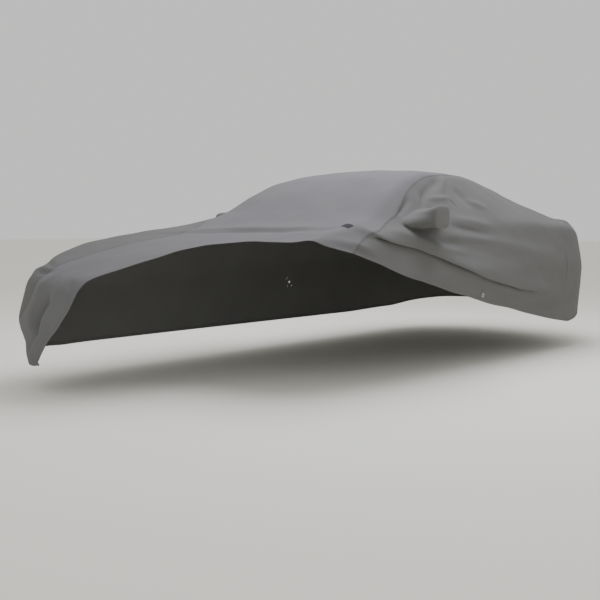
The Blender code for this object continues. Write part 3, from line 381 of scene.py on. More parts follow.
# Across the fold. Columns: cloth length from its line, then where that cloth lies down the
# wall and out from it at full depth.
PLEAT_COLUMNS = ("cloth", "down", "out")
PLEAT = (
    (-0.160, -0.160, 0.000),
    (-0.090, -0.084, 0.009),
    (-0.045, -0.028, 0.020),
    (-0.022, 0.004, 0.024),
    (-0.010, 0.020, 0.0225),
    (-0.004, 0.0240, 0.0175),
    (0.002, 0.0200, 0.0130),
    (0.011, -0.004, 0.0095),
    (0.019, -0.0225, 0.0070),
    (0.0235, -0.0255, 0.0030),
    (0.029, -0.0205, -0.0005),
    (0.044, 0.016, -0.0010),
    (0.070, 0.068, 0.0000),
    (0.100, 0.100, 0.0000),
)


def walked_along(line):
    """Length walked from a line's start to each of its points."""
    return np.concatenate([[0], np.cumsum(np.linalg.norm(np.diff(line, axis=0), axis=1))])


def read_at(line, walked, at):
    """Pattern points of a line after the given lengths walked, on straight runs."""
    return np.column_stack([np.interp(at, walked, line[:, k]) for k in (0, 1)])


def curve(points, spacing):
    """Even steps along a monotone cubic through the points."""
    corners = np.array(points, float)
    walked = walked_along(corners)
    names = ("walked", "p", "q")
    table = np.column_stack([walked, corners])
    at = np.linspace(0, walked[-1], max(3, int(round(walked[-1] / spacing)) + 1))
    return np.column_stack([column(table, names, name, at) for name in names[1:]])


def beside_route(p, q, route):
    """Distance from a route, on which side of it, and how far along it, from 0 to 1."""
    corners = curve(route, FOLD_STEP)
    walked = walked_along(corners)
    walked /= walked[-1]
    nearest, side, along = np.full(p.shape, np.inf), np.zeros(p.shape), np.zeros(p.shape)
    for number, (start, way) in enumerate(zip(corners[:-1], np.diff(corners, axis=0))):
        share = np.clip(((p - start[0]) * way[0] + (q - start[1]) * way[1]) / (way @ way), 0, 1)
        gap_p, gap_q = p - start[0] - share * way[0], q - start[1] - share * way[1]
        gap = np.hypot(gap_p, gap_q)
        closer = gap < nearest
        nearest = np.where(closer, gap, nearest)
        side = np.where(closer, np.sign(way[0] * gap_q - way[1] * gap_p), side)
        here = walked[number] + share * (walked[number + 1] - walked[number])
        along = np.where(closer, here, along)
    return nearest, side, along


def fold_height(p, q, folds):
    """Sum of soft folds: a bell across each route that dies away at both its ends."""
    total = np.zeros(p.shape)
    for route, height, inner, outer in folds:
        corners = np.array(route)
        margin = FOLD_REACH * max(inner, outer)
        low, high = corners.min(axis=0) - margin, corners.max(axis=0) + margin
        near = (p > low[0]) & (p < high[0]) & (q > low[1]) & (q < high[1])
        if not near.any():
            continue
        gap, side, along = beside_route(p[near], q[near], route)
        width = np.where(side > 0, inner, outer)
        bell = np.exp(-(gap / width) ** 2) - np.exp(-FOLD_REACH ** 2)
        fade = soft_step(along, 0, FOLD_FADE) * soft_step(1 - along, 0, FOLD_FADE)
        total[near] += height * np.maximum(bell, 0) * fade
    return total


def soft_step(value, start, end):
    """0 before start and 1 after end, with a smooth rise between them."""
    share = np.clip((value - start) / (end - start), 0, 1)
    return share * share * (3 - 2 * share)


def pleat_lie(p):
    """Cloth length from the centre line to the pleat, and the cosine of the pleat's slope."""
    names = ("p", "depth")
    depth = column(PLEAT_LINE, names, "depth", p)
    rise = (column(PLEAT_LINE, names, "depth", p + PLEAT_SLOPE_RUN)
            - column(PLEAT_LINE, names, "depth", p - PLEAT_SLOPE_RUN))
    return depth, np.cos(np.arctan2(rise, 2 * PLEAT_SLOPE_RUN))


def pleat_offset(p, q):
    """How far the pleat moves each pattern point across the pattern, and out from the wall."""
    depth, lean = pleat_lie(p)
    across = (-q - depth) * lean
    stands = soft_step(p, *PLEAT_STANDS) * (1 - soft_step(p, *PLEAT_LIES))
    doubles = soft_step(p, *PLEAT_DOUBLES) * (1 - soft_step(p, *PLEAT_SINGLES))
    inside = (across > PLEAT[0][0]) & (across < PLEAT[-1][0]) & (q < 0)
    down = column(PLEAT, PLEAT_COLUMNS, "down", across) - across
    out = column(PLEAT, PLEAT_COLUMNS, "out", across)
    return np.where(inside, -doubles * down / lean, 0), np.where(inside, stands * out, 0)


def slack(p, q):
    """Broad unevenness of cloth that isn't drawn tight: a few crossed waves, under 2 mm high."""
    waves = ((2.1, 1.3, 0.4, 0.0011), (-1.7, 3.1, 1.9, 0.0010), (4.3, -2.2, 3.1, 0.0007),
             (3.4, 4.9, 5.0, 0.0005))
    return sum(size * np.sin(2 * np.pi * (a * p + b * q) + c) for a, b, c, size in waves)


def square_to(surface, p, q, step):
    """Unit directions square to a surface: the cross product of its runs along and across."""
    along = surface(p + step, q) - surface(p - step, q)
    across = surface(p, q + step) - surface(p, q - step)
    normal = np.cross(along, across)
    return normal / np.linalg.norm(normal, axis=-1, keepdims=True)


def cover(p, q):
    """Points of the draped cloth on the pattern, moved to the part's origin.

    The pleat's layers are first laid over one another on the form, and then all of them
    follow the folds of the place where they lie, square to the form.
    """
    p, q = np.broadcast_arrays(np.asarray(p, float), np.asarray(q, float))
    shift, out = pleat_offset(p, q)
    q = q + shift
    out = out + fold_height(p, q, FOLDS + CREASES) + slack(p, q)
    return body(p, q) + square_to(body, p, q, FORM_STEP) * out[..., None] - ORIGIN


def cloth_frame(p, q):
    """Points of the draped cloth, with the unit direction square to it at each."""
    return cover(p, q), square_to(cover, p, q, CLOTH_STEP)


# Sharper creases that lie on the broad folds, in the same columns.
CREASES = (
    (((1.60, -0.79), (1.645, -0.84), (1.67, -0.90)), -0.008, 0.008, 0.010),
    (((0.93, -0.83), (1.02, -0.81), (1.12, -0.78)), -0.004, 0.010, 0.010),
    (((1.44, -1.01), (1.62, -1.05), (1.84, -1.09)), -0.003, 0.012, 0.012),
    (((-0.84, 0.62), (-0.866, 0.53), (-0.872, 0.44)), -0.008, 0.012, 0.008),
    (((-1.17, 0.72), (-1.20, 0.68), (-1.23, 0.62)), 0.006, 0.016, 0.016),
)
ORIGIN = np.array([ROOF_X, 0, -GROUND_Z])
UNDER = np.array([0.3, 0.0, -1.0])       # a point that every sheet faces away from

TOP_HEM = ((0.365, -0.985), (0.25, -0.928), (0.15, -0.865), (0.08, -0.76), (0.055, -0.55),
           (0.035, -0.35), (0.012, -0.195), (-0.09, -0.125), (-0.29, -0.115), (-0.51, -0.11),
           (-0.65, -0.09), (-0.76, -0.06), (-0.83, -0.02), (-0.91, 0.02), (-0.99, 0.04),
           (-1.07, 0.09), (-1.15, 0.18), (-1.21, 0.28), (-1.28, 0.51), (-1.345, 0.785))
STRIP_FOOT = ((-1.345, 0.785), (-1.325, 0.88), (-1.295, 0.96), (-1.262, 1.03))
LEFT_SEAM = ((0.365, -0.985), (0.43, -0.935), (0.53, -0.895), (0.66, -0.866), (0.815, -0.830),
             (0.94, -0.825), (1.03, -0.79), (1.14, -0.73), (1.28, -0.675))
RIGHT_SEAM = ((-0.95, 0.52), (-0.75, 0.50), (-0.45, 0.49), (-0.10, 0.49), (0.15, 0.50),
              (0.35, 0.55), (0.48, 0.63), (0.61, 0.70), (0.80, 0.76), (0.95, 0.76),
              (1.03, 0.745), (1.14, 0.715), (1.28, 0.670))
# Over the roof and the tail the two seams mirror each other.
SEAM_REAR = ((1.45, 0.625), (1.60, 0.600), (1.80, 0.575), (2.10, 0.565), (2.40, 0.575),
             (2.75, 0.610), (3.05, 0.650), (3.40, 0.670), (3.75, 0.675), (4.05, 0.690))
NOSE_SEAM_TURN = 48      # degrees at which the right seam meets the hem at the nose
TAIL_SEAM_TURN = 30      # the same for both seams at the tail
STRIP_TURN = 46          # where the strip's lower edge runs into the plain hem
LINE_STEP = 0.006        # spacing of the points along seams and hems


def hem_arc(first, last, end, side):
    """The plain hem round one end between two turns, a point every half degree."""
    turn = np.linspace(first, last, int(abs(last - first) * 2) + 1)
    number = FAN_STEPS * turn / 90
    number = 2 * FAN_STEPS + WALL_STEPS - number if end > 0 else number
    length = np.interp(number, np.arange(len(HEM_LENGTH)), HEM_LENGTH)
    foot = SPINE_REAR if end > 0 else SPINE_FRONT
    return np.column_stack([foot + end * length * np.cos(np.radians(turn)),
                            side * length * np.sin(np.radians(turn))])


def piece_of(line, start, end, count):
    """Even points along a stretch of a line, between its nearest points to start and end."""
    walked = walked_along(line)
    first, last = [walked[np.linalg.norm(line - np.array(point), axis=1).argmin()]
                   for point in (start, end)]
    return read_at(line, walked, np.linspace(first, last, count + 1))


def whole_of(line, count):
    """Even points along a whole line, a count of steps."""
    return piece_of(line, line[0], line[-1], count)


def rungs(line, stops, counts):
    """Points along a line that pass through the stops, with a count of steps between each two."""
    parts = [piece_of(line, start, end, count)
             for start, end, count in zip(stops[:-1], stops[1:], counts)]
    return np.concatenate([part[:-1] for part in parts] + [parts[-1][-1:]])


def across_patch(left, right, first_side, last_side):
    """Pattern points filling four sides: straight lines between two of them, bent to the others."""
    s = np.linspace(0, 1, len(left))[:, None, None]
    t = np.linspace(0, 1, len(first_side))[None, :, None]
    ruled = (1 - t) * left[:, None] + t * right[:, None]
    first = first_side[None] - ((1 - t) * left[0] + t * right[0])
    last = last_side[None] - ((1 - t) * left[-1] + t * right[-1])
    return ruled + (1 - s) ** 3 * first + s ** 6 * last


def grid_faces(rows, columns):
    """The faces of a grid of points, row after row."""
    here = np.arange(rows * columns).reshape(rows, columns)
    return np.stack([here[:-1, :-1], here[1:, :-1], here[1:, 1:], here[:-1, 1:]], -1).reshape(-1, 4)


def ring_faces(rings, count):
    """The faces between closed rings of points, each ring a count of points."""
    here = np.arange(rings * count).reshape(rings, count)
    there = np.roll(here, -1, axis=1)
    return np.stack([here[:-1], there[:-1], there[1:], here[1:]], -1).reshape(-1, 4)


def cloth_mesh(name, pattern, material, holes=()):
    """A sheet over a grid of pattern points, which is its UV map too, with holes left in it."""
    flat = pattern.reshape(-1, 2)
    faces = grid_faces(*pattern.shape[:2])
    for hole in holes:
        flat = drawn_to(flat, hole)
        faces = faces[~inside(flat[faces].mean(axis=1), hole)]
    points = cover(flat[:, 0], flat[:, 1])
    return sheet_object(name, points, faces, flat, material, points[faces].mean(axis=1) - UNDER)


def sheet_object(name, points, faces, uv, material, outward):
    """A smooth sheet from whole arrays of points, faces and UV places.

    Its faces are turned over, all together, if most of them look against the outward way.
    """
    corner = points[faces]
    facing = np.cross(corner[:, 2] - corner[:, 0], corner[:, 3] - corner[:, 1])
    if (facing * outward).sum() < 0:
        faces = faces[:, ::-1]
    mesh = bpy.data.meshes.new(name)
    mesh.from_pydata(points.tolist(), [], faces.tolist())
    layer = mesh.uv_layers.new(name="Pattern")
    corner = np.zeros(len(mesh.loops), int)
    mesh.loops.foreach_get("vertex_index", corner)
    layer.data.foreach_set("uv", np.asarray(uv)[corner].ravel())
    shape = bmesh.new()
    shape.from_mesh(mesh)
    bmesh.ops.remove_doubles(shape, verts=shape.verts, dist=2e-5)
    loose = [vert for vert in shape.verts if not vert.link_faces]
    bmesh.ops.delete(shape, geom=loose, context="VERTS")
    shape.to_mesh(mesh)
    shape.free()
    mesh.shade_smooth()
    mesh.materials.append(material)
    return link_to(name, mesh)


def inside(points, loop):
    """Which points lie inside a loop, by counting the edges crossed on the way out."""
    start, end = loop, np.roll(loop, -1, axis=0)
    p, q = points[:, 0, None], points[:, 1, None]
    crosses = (start[:, 1] > q) != (end[:, 1] > q)
    rise = np.where(end[:, 1] == start[:, 1], 1e-12, end[:, 1] - start[:, 1])
    meets = start[:, 0] + (q - start[:, 1]) / rise * (end[:, 0] - start[:, 0])
    return (np.sum(crosses & (p < meets), axis=1) % 2) == 1


def drawn_to(points, loop, reach=0.006):
    """The points, with those nearer to a loop than the reach moved onto it."""
    moved = points.copy()
    near = np.flatnonzero((np.abs(points - loop.mean(axis=0)) < np.ptp(loop, axis=0)).all(axis=1))
    start, way = loop, np.roll(loop, -1, axis=0) - loop
    gap = points[near, None] - start
    share = np.clip((gap * way).sum(-1) / (way * way).sum(-1), 0, 1)
    foot = start + share[..., None] * way
    distance = np.linalg.norm(points[near, None] - foot, axis=-1)
    best = distance.argmin(axis=1)
    close = distance[np.arange(len(near)), best] < reach
    moved[near[close]] = foot[np.arange(len(near)), best][close]
    return moved


def finish_cloth(piece, lining):
    """Give a sheet its thickness, with the lining's colour on its inner face."""
    piece.data.materials.append(lining)
    wall = piece.modifiers.new("Cloth thickness", "SOLIDIFY")
    wall.thickness = CLOTH_THICK
    wall.offset = 0
    wall.material_offset = 1


# Cross-sections, as distance into the panel and height off its middle layer: of a hem that
# is turned under, and of a felled seam.
HEM_SECTION = ((0.0212, 0.0006), (0.0205, 0.0012), (0.0120, 0.0014), (0.0050, 0.0013),
               (0.0012, 0.0012), (-0.0006, 0.0007), (-0.0012, -0.0004), (-0.0006, -0.0015),
               (0.0012, -0.0021), (0.0120, -0.0022), (0.0205, -0.0018), (0.0212, -0.0010))
SEAM_SECTION = ((-0.0045, 0.0004), (-0.0036, 0.0012), (0.0, 0.0015), (0.0036, 0.0012),
                (0.0045, 0.0004), (0.0036, -0.0012), (0.0, -0.0015), (-0.0036, -0.0012))
RIB_PITCH = 0.0035       # the knit's ribs as drawn
STITCH_HALF = (0.0019, 0.00045, 0.0003)  # half a stitch's length, width and height
STITCH_PITCH = 0.0052
HEM_STITCHES = (0.0175, 0.0016)          # the stitches' distance in from the edge, and height
SEAM_STITCHES = (0.0025, 0.0019)         # the same from a seam's middle


def beside_line(line, inward):
    """Unit directions over the pattern, square to a line: on its left for inward 1."""
    way = np.gradient(line, axis=0)
    way /= np.linalg.norm(way, axis=1)[:, None]
    return inward * np.column_stack([-way[:, 1], way[:, 0]])


def along_line(name, line, inward, section, material):
    """A closed section drawn along a line of the pattern, on the draped cloth, with closed ends."""
    into, off = np.array(section).T
    spot = line[:, None] + beside_line(line, inward)[:, None] * into[:, None]
    here, square = cloth_frame(spot[..., 0], spot[..., 1])
    points = here + square * off[:, None]
    index = np.arange(points.shape[0] * points.shape[1]).reshape(points.shape[:2])
    turned_on = np.roll(index, -1, axis=1)
    sides = np.stack([index[:-1], index[1:], turned_on[1:], turned_on[:-1]], -1).reshape(-1, 4)
    return closed_object(name, points.reshape(-1, 3),
                         sides.tolist() + [index[0].tolist(), index[-1].tolist()], material)


def closed_object(name, points, faces, material):
    """A smooth closed body with its faces outwards."""
    mesh = bpy.data.meshes.new(name)
    mesh.from_pydata(points.tolist(), [], faces)
    shape = bmesh.new()
    shape.from_mesh(mesh)
    bmesh.ops.recalc_face_normals(shape, faces=shape.faces)
    shape.to_mesh(mesh)
    shape.free()
    mesh.shade_smooth()
    mesh.materials.append(material)
    return link_to(name, mesh)


def stitches(name, line, inward, into, off, material):
    """A row of stitches beside a line of the pattern: each a small lozenge that lies on the cloth."""
    path = line + beside_line(line, inward) * into
    walked = walked_along(path)
    at = np.arange(STITCH_PITCH, walked[-1] - STITCH_PITCH, STITCH_PITCH)
    spot = read_at(path, walked, at)
    ahead = read_at(path, walked, at + 0.001)
    here, square = cloth_frame(spot[:, 0], spot[:, 1])
    way = cover(ahead[:, 0], ahead[:, 1]) - here
    way /= np.linalg.norm(way, axis=1)[:, None]
    half = np.stack([way * STITCH_HALF[0], np.cross(square, way) * STITCH_HALF[1],
                     square * STITCH_HALF[2]], axis=1)
    middle = (here + off * square)[:, None]
    points = np.concatenate([middle + half, middle - half], axis=1).reshape(-1, 3)
    corners = ((0, 1, 2), (1, 3, 2), (3, 4, 2), (4, 0, 2), (1, 0, 5), (3, 1, 5), (4, 3, 5), (0, 4, 5))
    faces = (np.arange(len(at))[:, None, None] * 6 + np.array(corners)).reshape(-1, 3)
    return closed_object(name, points, faces.tolist(), material)


def sewn_on(piece):
    """Let a hem, seam or row of stitches ride with the cover."""
    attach(piece, "root")
    return piece


def hemmed(name, line, inward, material):
    """A turned hem along a line, and the stitches that hold it."""
    return [sewn_on(along_line(f"{name}_hem", line, inward, HEM_SECTION, material)),
            sewn_on(stitches(f"{name}_stitches", line, inward, *HEM_STITCHES, thread))]


def felled(name, line, inward, material):
    """A felled seam along a line, and its stitches."""
    return [sewn_on(along_line(name, line, inward, SEAM_SECTION, material)),
            sewn_on(stitches(f"{name}_stitches", line, inward, *SEAM_STITCHES, thread))]


def soft_knit(name, light, dark):
    """Brushed warp-knit polyester: matt and a little fuzzy, with faint ribs along the cloth.

    Its colour drifts between two close greys, the ribs and the fuzz are a shallow bump, and
    a weak sheen lightens it where it turns away. Real ribs are 1 mm apart; they are drawn
    coarser, so that they still show.
    """
    material, tree, shader = new_material(name, 0.86)
    place = add_node(tree, "ShaderNodeTexCoord").outputs["UV"]
    drift = add_node(tree, "ShaderNodeTexNoise", {"Vector": place, "Scale": 3.2, "Detail": 3.0})
    fuzz = add_node(tree, "ShaderNodeTexNoise", {"Vector": place, "Scale": 1 / RIB_PITCH, "Detail": 4.0})
    ribs = add_node(tree, "ShaderNodeTexWave", {"Vector": place, "Scale": 0.314 / RIB_PITCH,
                                                "Distortion": 1.2, "Detail": 2.0},
                    bands_direction="Y")
    tone = add_node(tree, "ShaderNodeMix", {"Factor": drift.outputs["Fac"], "A": linear(dark),
                                            "B": linear(light)}, data_type="RGBA")
    grain = add_node(tree, "ShaderNodeMix", {"Factor": 0.10, "A": tone.outputs["Result"],
                                             "B": fuzz.outputs["Fac"]},
                     data_type="RGBA", blend_type="OVERLAY")
    relief = add_node(tree, "ShaderNodeMath", {0: ribs.outputs["Fac"], 1: fuzz.outputs["Fac"]},
                      operation="ADD")
    bump = add_node(tree, "ShaderNodeBump", {"Strength": 0.22, "Distance": 0.0005,
                                             "Height": relief.outputs[0]})
    tree.links.new(grain.outputs["Result"], shader.inputs["Base Color"])
    tree.links.new(bump.outputs["Normal"], shader.inputs["Normal"])
    shader.inputs["Sheen Weight"].default_value = 0.05
    shader.inputs["Sheen Roughness"].default_value = 0.6
    shader.inputs["Specular IOR Level"].default_value = 0.06
    return material


def spun_thread(name):
    """Spun polyester sewing thread, a shade darker than the cloth."""
    material, _, shader = new_material(name, 0.7)
    shader.inputs["Base Color"].default_value = linear("#5c5c5c")
    return material


CENTRE_STOPS = (
    # on the left edge, on the right edge, rows of the mesh from here to the next stop
    ((4.50, -0.80), (4.50, 0.80), 74),
    ((3.05, -0.65), (3.05, 0.65), 118),
    ((1.14, -0.73), (1.14, 0.715), 42),
    ((0.53, -0.895), (0.66, 0.71), 13),
    ((0.365, -0.985), (0.54, 0.665), 24),
    ((0.08, -0.76), (0.40, 0.58), 22),
    ((0.035, -0.35), (0.24, 0.52), 20),
    ((-0.12, -0.125), (0.04, 0.49), 27),
    ((-0.51, -0.11), (-0.42, 0.49), 34),
    ((-0.99, 0.04), (-0.88, 0.51), 24),
    ((-1.21, 0.28), (-1.02, 0.64), 36),
    ((-1.345, 0.785), (-1.18, 1.13), 0),
)
CENTRE_COLUMNS = 92

tail_corner = hem_arc(TAIL_SEAM_TURN, TAIL_SEAM_TURN, 1, 1)
nose_corner = hem_arc(NOSE_SEAM_TURN, NOSE_SEAM_TURN, -1, 1)
foot_end = hem_arc(STRIP_TURN, NOSE_SEAM_TURN, -1, 1)
rear_run = np.concatenate([SEAM_REAR, tail_corner])
left_seam = curve(np.concatenate([LEFT_SEAM, rear_run * (1, -1)]), LINE_STEP)
right_seam = curve(np.concatenate([nose_corner, RIGHT_SEAM, rear_run]), LINE_STEP)
top_hem = curve(TOP_HEM, LINE_STEP)
strip_foot = np.concatenate([curve(np.concatenate([STRIP_FOOT, foot_end[:1]]), LINE_STEP),
                             foot_end[1:]])
tail_hem = np.concatenate([hem_arc(TAIL_SEAM_TURN, 0, 1, -1), hem_arc(0, TAIL_SEAM_TURN, 1, 1)[1:]])
counts = [rows for _, _, rows in CENTRE_STOPS[:-1]]
left_edge = rungs(np.concatenate([left_seam[::-1], top_hem[1:]]),
                  [left for left, _, _ in CENTRE_STOPS], counts)
right_edge = rungs(right_seam[::-1], [right for _, right, _ in CENTRE_STOPS], counts)
centre_knit = soft_knit("Brushed knit, centre panel", "#6f6f70", "#676768")
lining_knit = soft_knit("Brushed knit, inner face", "#6f6f6d", "#676765")
centre_cloth = cloth_mesh(
    "centre_cloth",
    across_patch(left_edge, right_edge, whole_of(tail_hem, CENTRE_COLUMNS),
                 whole_of(strip_foot, CENTRE_COLUMNS)),
    centre_knit)
finish_cloth(centre_cloth, lining_knit)
thread = spun_thread("Spun polyester thread")
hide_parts("centre_panel")
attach(centre_cloth, "root")
centre_hems = (hemmed("centre_top", top_hem[2:], -1, centre_knit)
               + hemmed("centre_foot", strip_foot, 1, centre_knit)
               + hemmed("centre_tail", tail_hem, -1, centre_knit))


# ------------------------------------------------------------------ the left side panel
# The side of the cover, of the same stretch knit, its greys painted darker than the centre
# panel's for the shade on the sides; sewn under the centre panel. Its lower edge is drawn back
# from the nose, and the slack hangs there as a doubled pleat.
SIDE_HEM = ((0.365, -0.985), (0.42, -1.01), (0.65, -1.11), (0.95, -1.29), (1.29, -1.46),
            (1.60, -1.555), (1.90, -1.62), (2.27, -1.66), (2.47, -1.67))
SIDE_STEP = 0.0105       # spacing of the mesh along the side
SIDE_ROWS = 120
TAIL_COLUMNS = 84        # steps of both side panels round the tail
PLEAT_BAND = 0.065       # half width of the band in which the rows stand closer
PLEAT_CROWDING = 3.2
PLEAT_CROWDED = (0.40, 2.95)             # the stations between which they do
CROWDING_STEPS = 400     # steps by which their places are summed up
LOOP_FINENESS = 8        # steps of a closed outline for each point that is kept
POCKET_BASE = ((0.915, 0.862), (0.915, 0.935), (1.13, 1.010), (1.34, 1.000), (1.42, 0.925),
               (1.31, 0.862), (1.12, 0.853))
EYELET_AT = (1.72, 1.54)
POCKET_POINTS = 96       # points round its sewn edge
EYELET_PATCH = 0.035     # radius of the round of cloth that holds an eyelet ring
EYELET_TURNS = 48        # points round it


def wall_hem(first, last, side):
    """The plain hem beside the spine, between two stations."""
    at = np.linspace(first, last, int(abs(last - first) / LINE_STEP) + 2)
    number = FAN_STEPS + (at - SPINE_FRONT) / (SPINE_REAR - SPINE_FRONT) * WALL_STEPS
    return np.column_stack([at, side * np.interp(number, np.arange(len(HEM_LENGTH)), HEM_LENGTH)])


def stations_of(line, at):
    """Points of a line that runs along the cover, at the given stations."""
    return np.column_stack([at, np.interp(at, line[:, 0], line[:, 1])])


def between(upper, lower, rows, crowding):
    """Straight lines over the pattern from one edge to the other, with rows crowded at the pleat."""
    t = np.linspace(0, 1, CROWDING_STEPS)[:, None, None]
    fine = (1 - t) * upper + t * lower
    depth, lean = pleat_lie(fine[..., 0])
    across = np.abs((-fine[..., 1] - depth) * lean) / PLEAT_BAND
    pleated = (fine[..., 0] > PLEAT_CROWDED[0]) & (fine[..., 0] < PLEAT_CROWDED[1])
    crowd = 1 + crowding * np.clip(1 - across ** 4, 0, 1) * pleated
    passed = np.cumsum(crowd, axis=0) - crowd[0]
    passed /= passed[-1]
    share = np.array([np.interp(np.linspace(0, 1, rows + 1), passed[:, k], t[:, 0, 0])
                      for k in range(passed.shape[1])]).T[..., None]
    return (1 - share) * upper + share * lower


def closed_loop(corners, count, side=1):
    """Even points round a closed outline that is rounded by a moving average."""
    loop = np.array(corners + corners[:1], float) * (1, side)
    walked = walked_along(loop)
    fine = np.linspace(0, walked[-1], LOOP_FINENESS * count, endpoint=False)
    points = read_at(loop, walked, fine)
    window = range(-3 * count // 8, 3 * count // 8 + 1)
    rounded = sum(np.roll(points, shift, axis=0) for shift in window) / len(window)
    return rounded[::LOOP_FINENESS]


def circle(centre, radius, count):
    """Even points round a circle on the pattern."""
    turn = np.arange(count) * 2 * np.pi / count
    return np.column_stack([centre[0] + radius * np.cos(turn), centre[1] + radius * np.sin(turn)])


def side_holes(side):
    """Outlines of a side panel's openings, for its mirror pocket and for its eyelet patch."""
    return (closed_loop(POCKET_BASE, POCKET_POINTS, side),
            circle((EYELET_AT[0], side * EYELET_AT[1]), EYELET_PATCH, EYELET_TURNS))


tail_side = hem_arc(90, TAIL_SEAM_TURN, 1, -1)
left_hem = curve(np.concatenate([SIDE_HEM, tail_side[:1]]), LINE_STEP)
side_start = SIDE_HEM[0][0]
stations_left = np.linspace(side_start, SPINE_REAR, int((SPINE_REAR - side_start) / SIDE_STEP))
tail_seam = piece_of(left_seam, (SPINE_REAR, -0.65), left_seam[-1], TAIL_COLUMNS)
# The sides' greys: the same knit as the centre panel, painted darker for the shade that falls on the
# sides.
side_knit_painted_shade = soft_knit("Brushed knit, sides, painted darker for shade", "#686866", "#616160")
# The seams' strips: the side knit painted darker still, for the painted shade line along each seam.
seam_knit_painted_shade = soft_knit("Brushed knit, felled seams, painted seam shade", "#626261", "#5c5c5b")
left_cloth = cloth_mesh(
    "left_cloth",
    between(np.concatenate([stations_of(left_seam, stations_left), tail_seam[1:]]),
            np.concatenate([stations_of(left_hem, stations_left),
                            whole_of(tail_side, TAIL_COLUMNS)[1:]]),
            SIDE_ROWS, PLEAT_CROWDING),
    side_knit_painted_shade, side_holes(-1))
finish_cloth(left_cloth, lining_knit)
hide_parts("left_side_panel")
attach(left_cloth, "root")
left_hems = (hemmed("left_side", left_hem, 1, side_knit_painted_shade)
             + hemmed("left_tail", tail_side, 1, side_knit_painted_shade)
             + felled("left_seam", left_seam, 1, seam_knit_painted_shade))


# ------------------------------------------------------------------ the right side panel
# The same piece on the other side, of the same knit, cut on down to a plain hem that runs
# from nose to tail.
RIGHT_ROWS = 84
RIGHT_STEP = 0.0135
NOSE_COLUMNS = 92
nose_seam = piece_of(right_seam, right_seam[0], (SPINE_FRONT, 0.49), NOSE_COLUMNS)
nose_side = hem_arc(NOSE_SEAM_TURN, 90, -1, 1)
stations_right = np.linspace(SPINE_FRONT, SPINE_REAR, int((SPINE_REAR - SPINE_FRONT) / RIGHT_STEP))
tail_seam_right = piece_of(right_seam, (SPINE_REAR, 0.65), right_seam[-1], TAIL_COLUMNS)
tail_side_right = hem_arc(90, TAIL_SEAM_TURN, 1, 1)
right_cloth = cloth_mesh(
    "right_cloth",
    between(np.concatenate([nose_seam[:-1], stations_of(right_seam, stations_right),
                            tail_seam_right[1:]]),
            np.concatenate([whole_of(nose_side, NOSE_COLUMNS)[:-1],
                            stations_of(wall_hem(SPINE_FRONT, SPINE_REAR, 1), stations_right),
                            whole_of(tail_side_right, TAIL_COLUMNS)[1:]]),
            RIGHT_ROWS, 0.0),
    side_knit_painted_shade, side_holes(1))
finish_cloth(right_cloth, lining_knit)
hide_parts("right_side_panel")
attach(right_cloth, "root")
right_hem = np.concatenate([nose_side, wall_hem(SPINE_FRONT, SPINE_REAR, 1)[1:-1], tail_side_right])
right_hems = (hemmed("right_side", right_hem, -1, side_knit_painted_shade)
              + felled("right_seam", right_seam, -1, seam_knit_painted_shade))


# ------------------------------------------------------------------ the mirror pockets
# Pouches of the side cloth, sewn into openings of the side panels. The cloth is slack
# between a pouch's sewn edge and its outer end.
POCKET_LAP = 0.007       # how far the sewn edge laps over the panel
POCKET_STANDS = 0.0012   # and how far it stands off it
POCKET_TIP = (1.113, 1.007, 1.062)        # middle of the pocket's outer end
POCKET_TIP_WAY = (0.27, -0.07)            # its end runs back and inwards
POCKET_TIP_HALF = (0.138, 0.074)          # half its length and half its height
POCKET_TIP_SWELL = 0.016
POCKET_RIGHT_SAGS = 0.036                 # the right pocket's end hangs lower than the left's
POCKET_SAG_COLUMNS = ("share", "pinch")
POCKET_SAG = ((0.0, 0.0), (0.12, 0.01), (0.30, 0.05), (0.65, 0.06), (0.90, 0.015), (1.0, 0.0))
POCKET_RINGS = 22
POCKET_UV = (0.8, 0.22)                   # size of its pattern for the knit, round it and out
# The sewn edge's rings: how far outside the opening, and height off the panel.
POCKET_EDGE = ((POCKET_LAP, 0.0), (POCKET_LAP - 0.001, POCKET_STANDS), (0.0, POCKET_STANDS),
               (-0.006, POCKET_STANDS))
# Where the rings of the closed end lie: share of the end's size, and of its swell.
POCKET_END = ((0.985, 0.22), (0.95, 0.45), (0.88, 0.70), (0.75, 0.87), (0.55, 0.96), (0.30, 1.0),
              (0.08, 1.0))


def grown(loop, amount):
    """The loop moved outwards, square to its own run."""
    before, after = np.roll(loop, 1, axis=0), np.roll(loop, -1, axis=0)
    way = after - before
    way /= np.linalg.norm(way, axis=1)[:, None]
    area = np.sum(loop[:, 0] * after[:, 1] - after[:, 0] * loop[:, 1])
    return loop + amount * np.column_stack([way[:, 1], -way[:, 0]]) * np.sign(area)


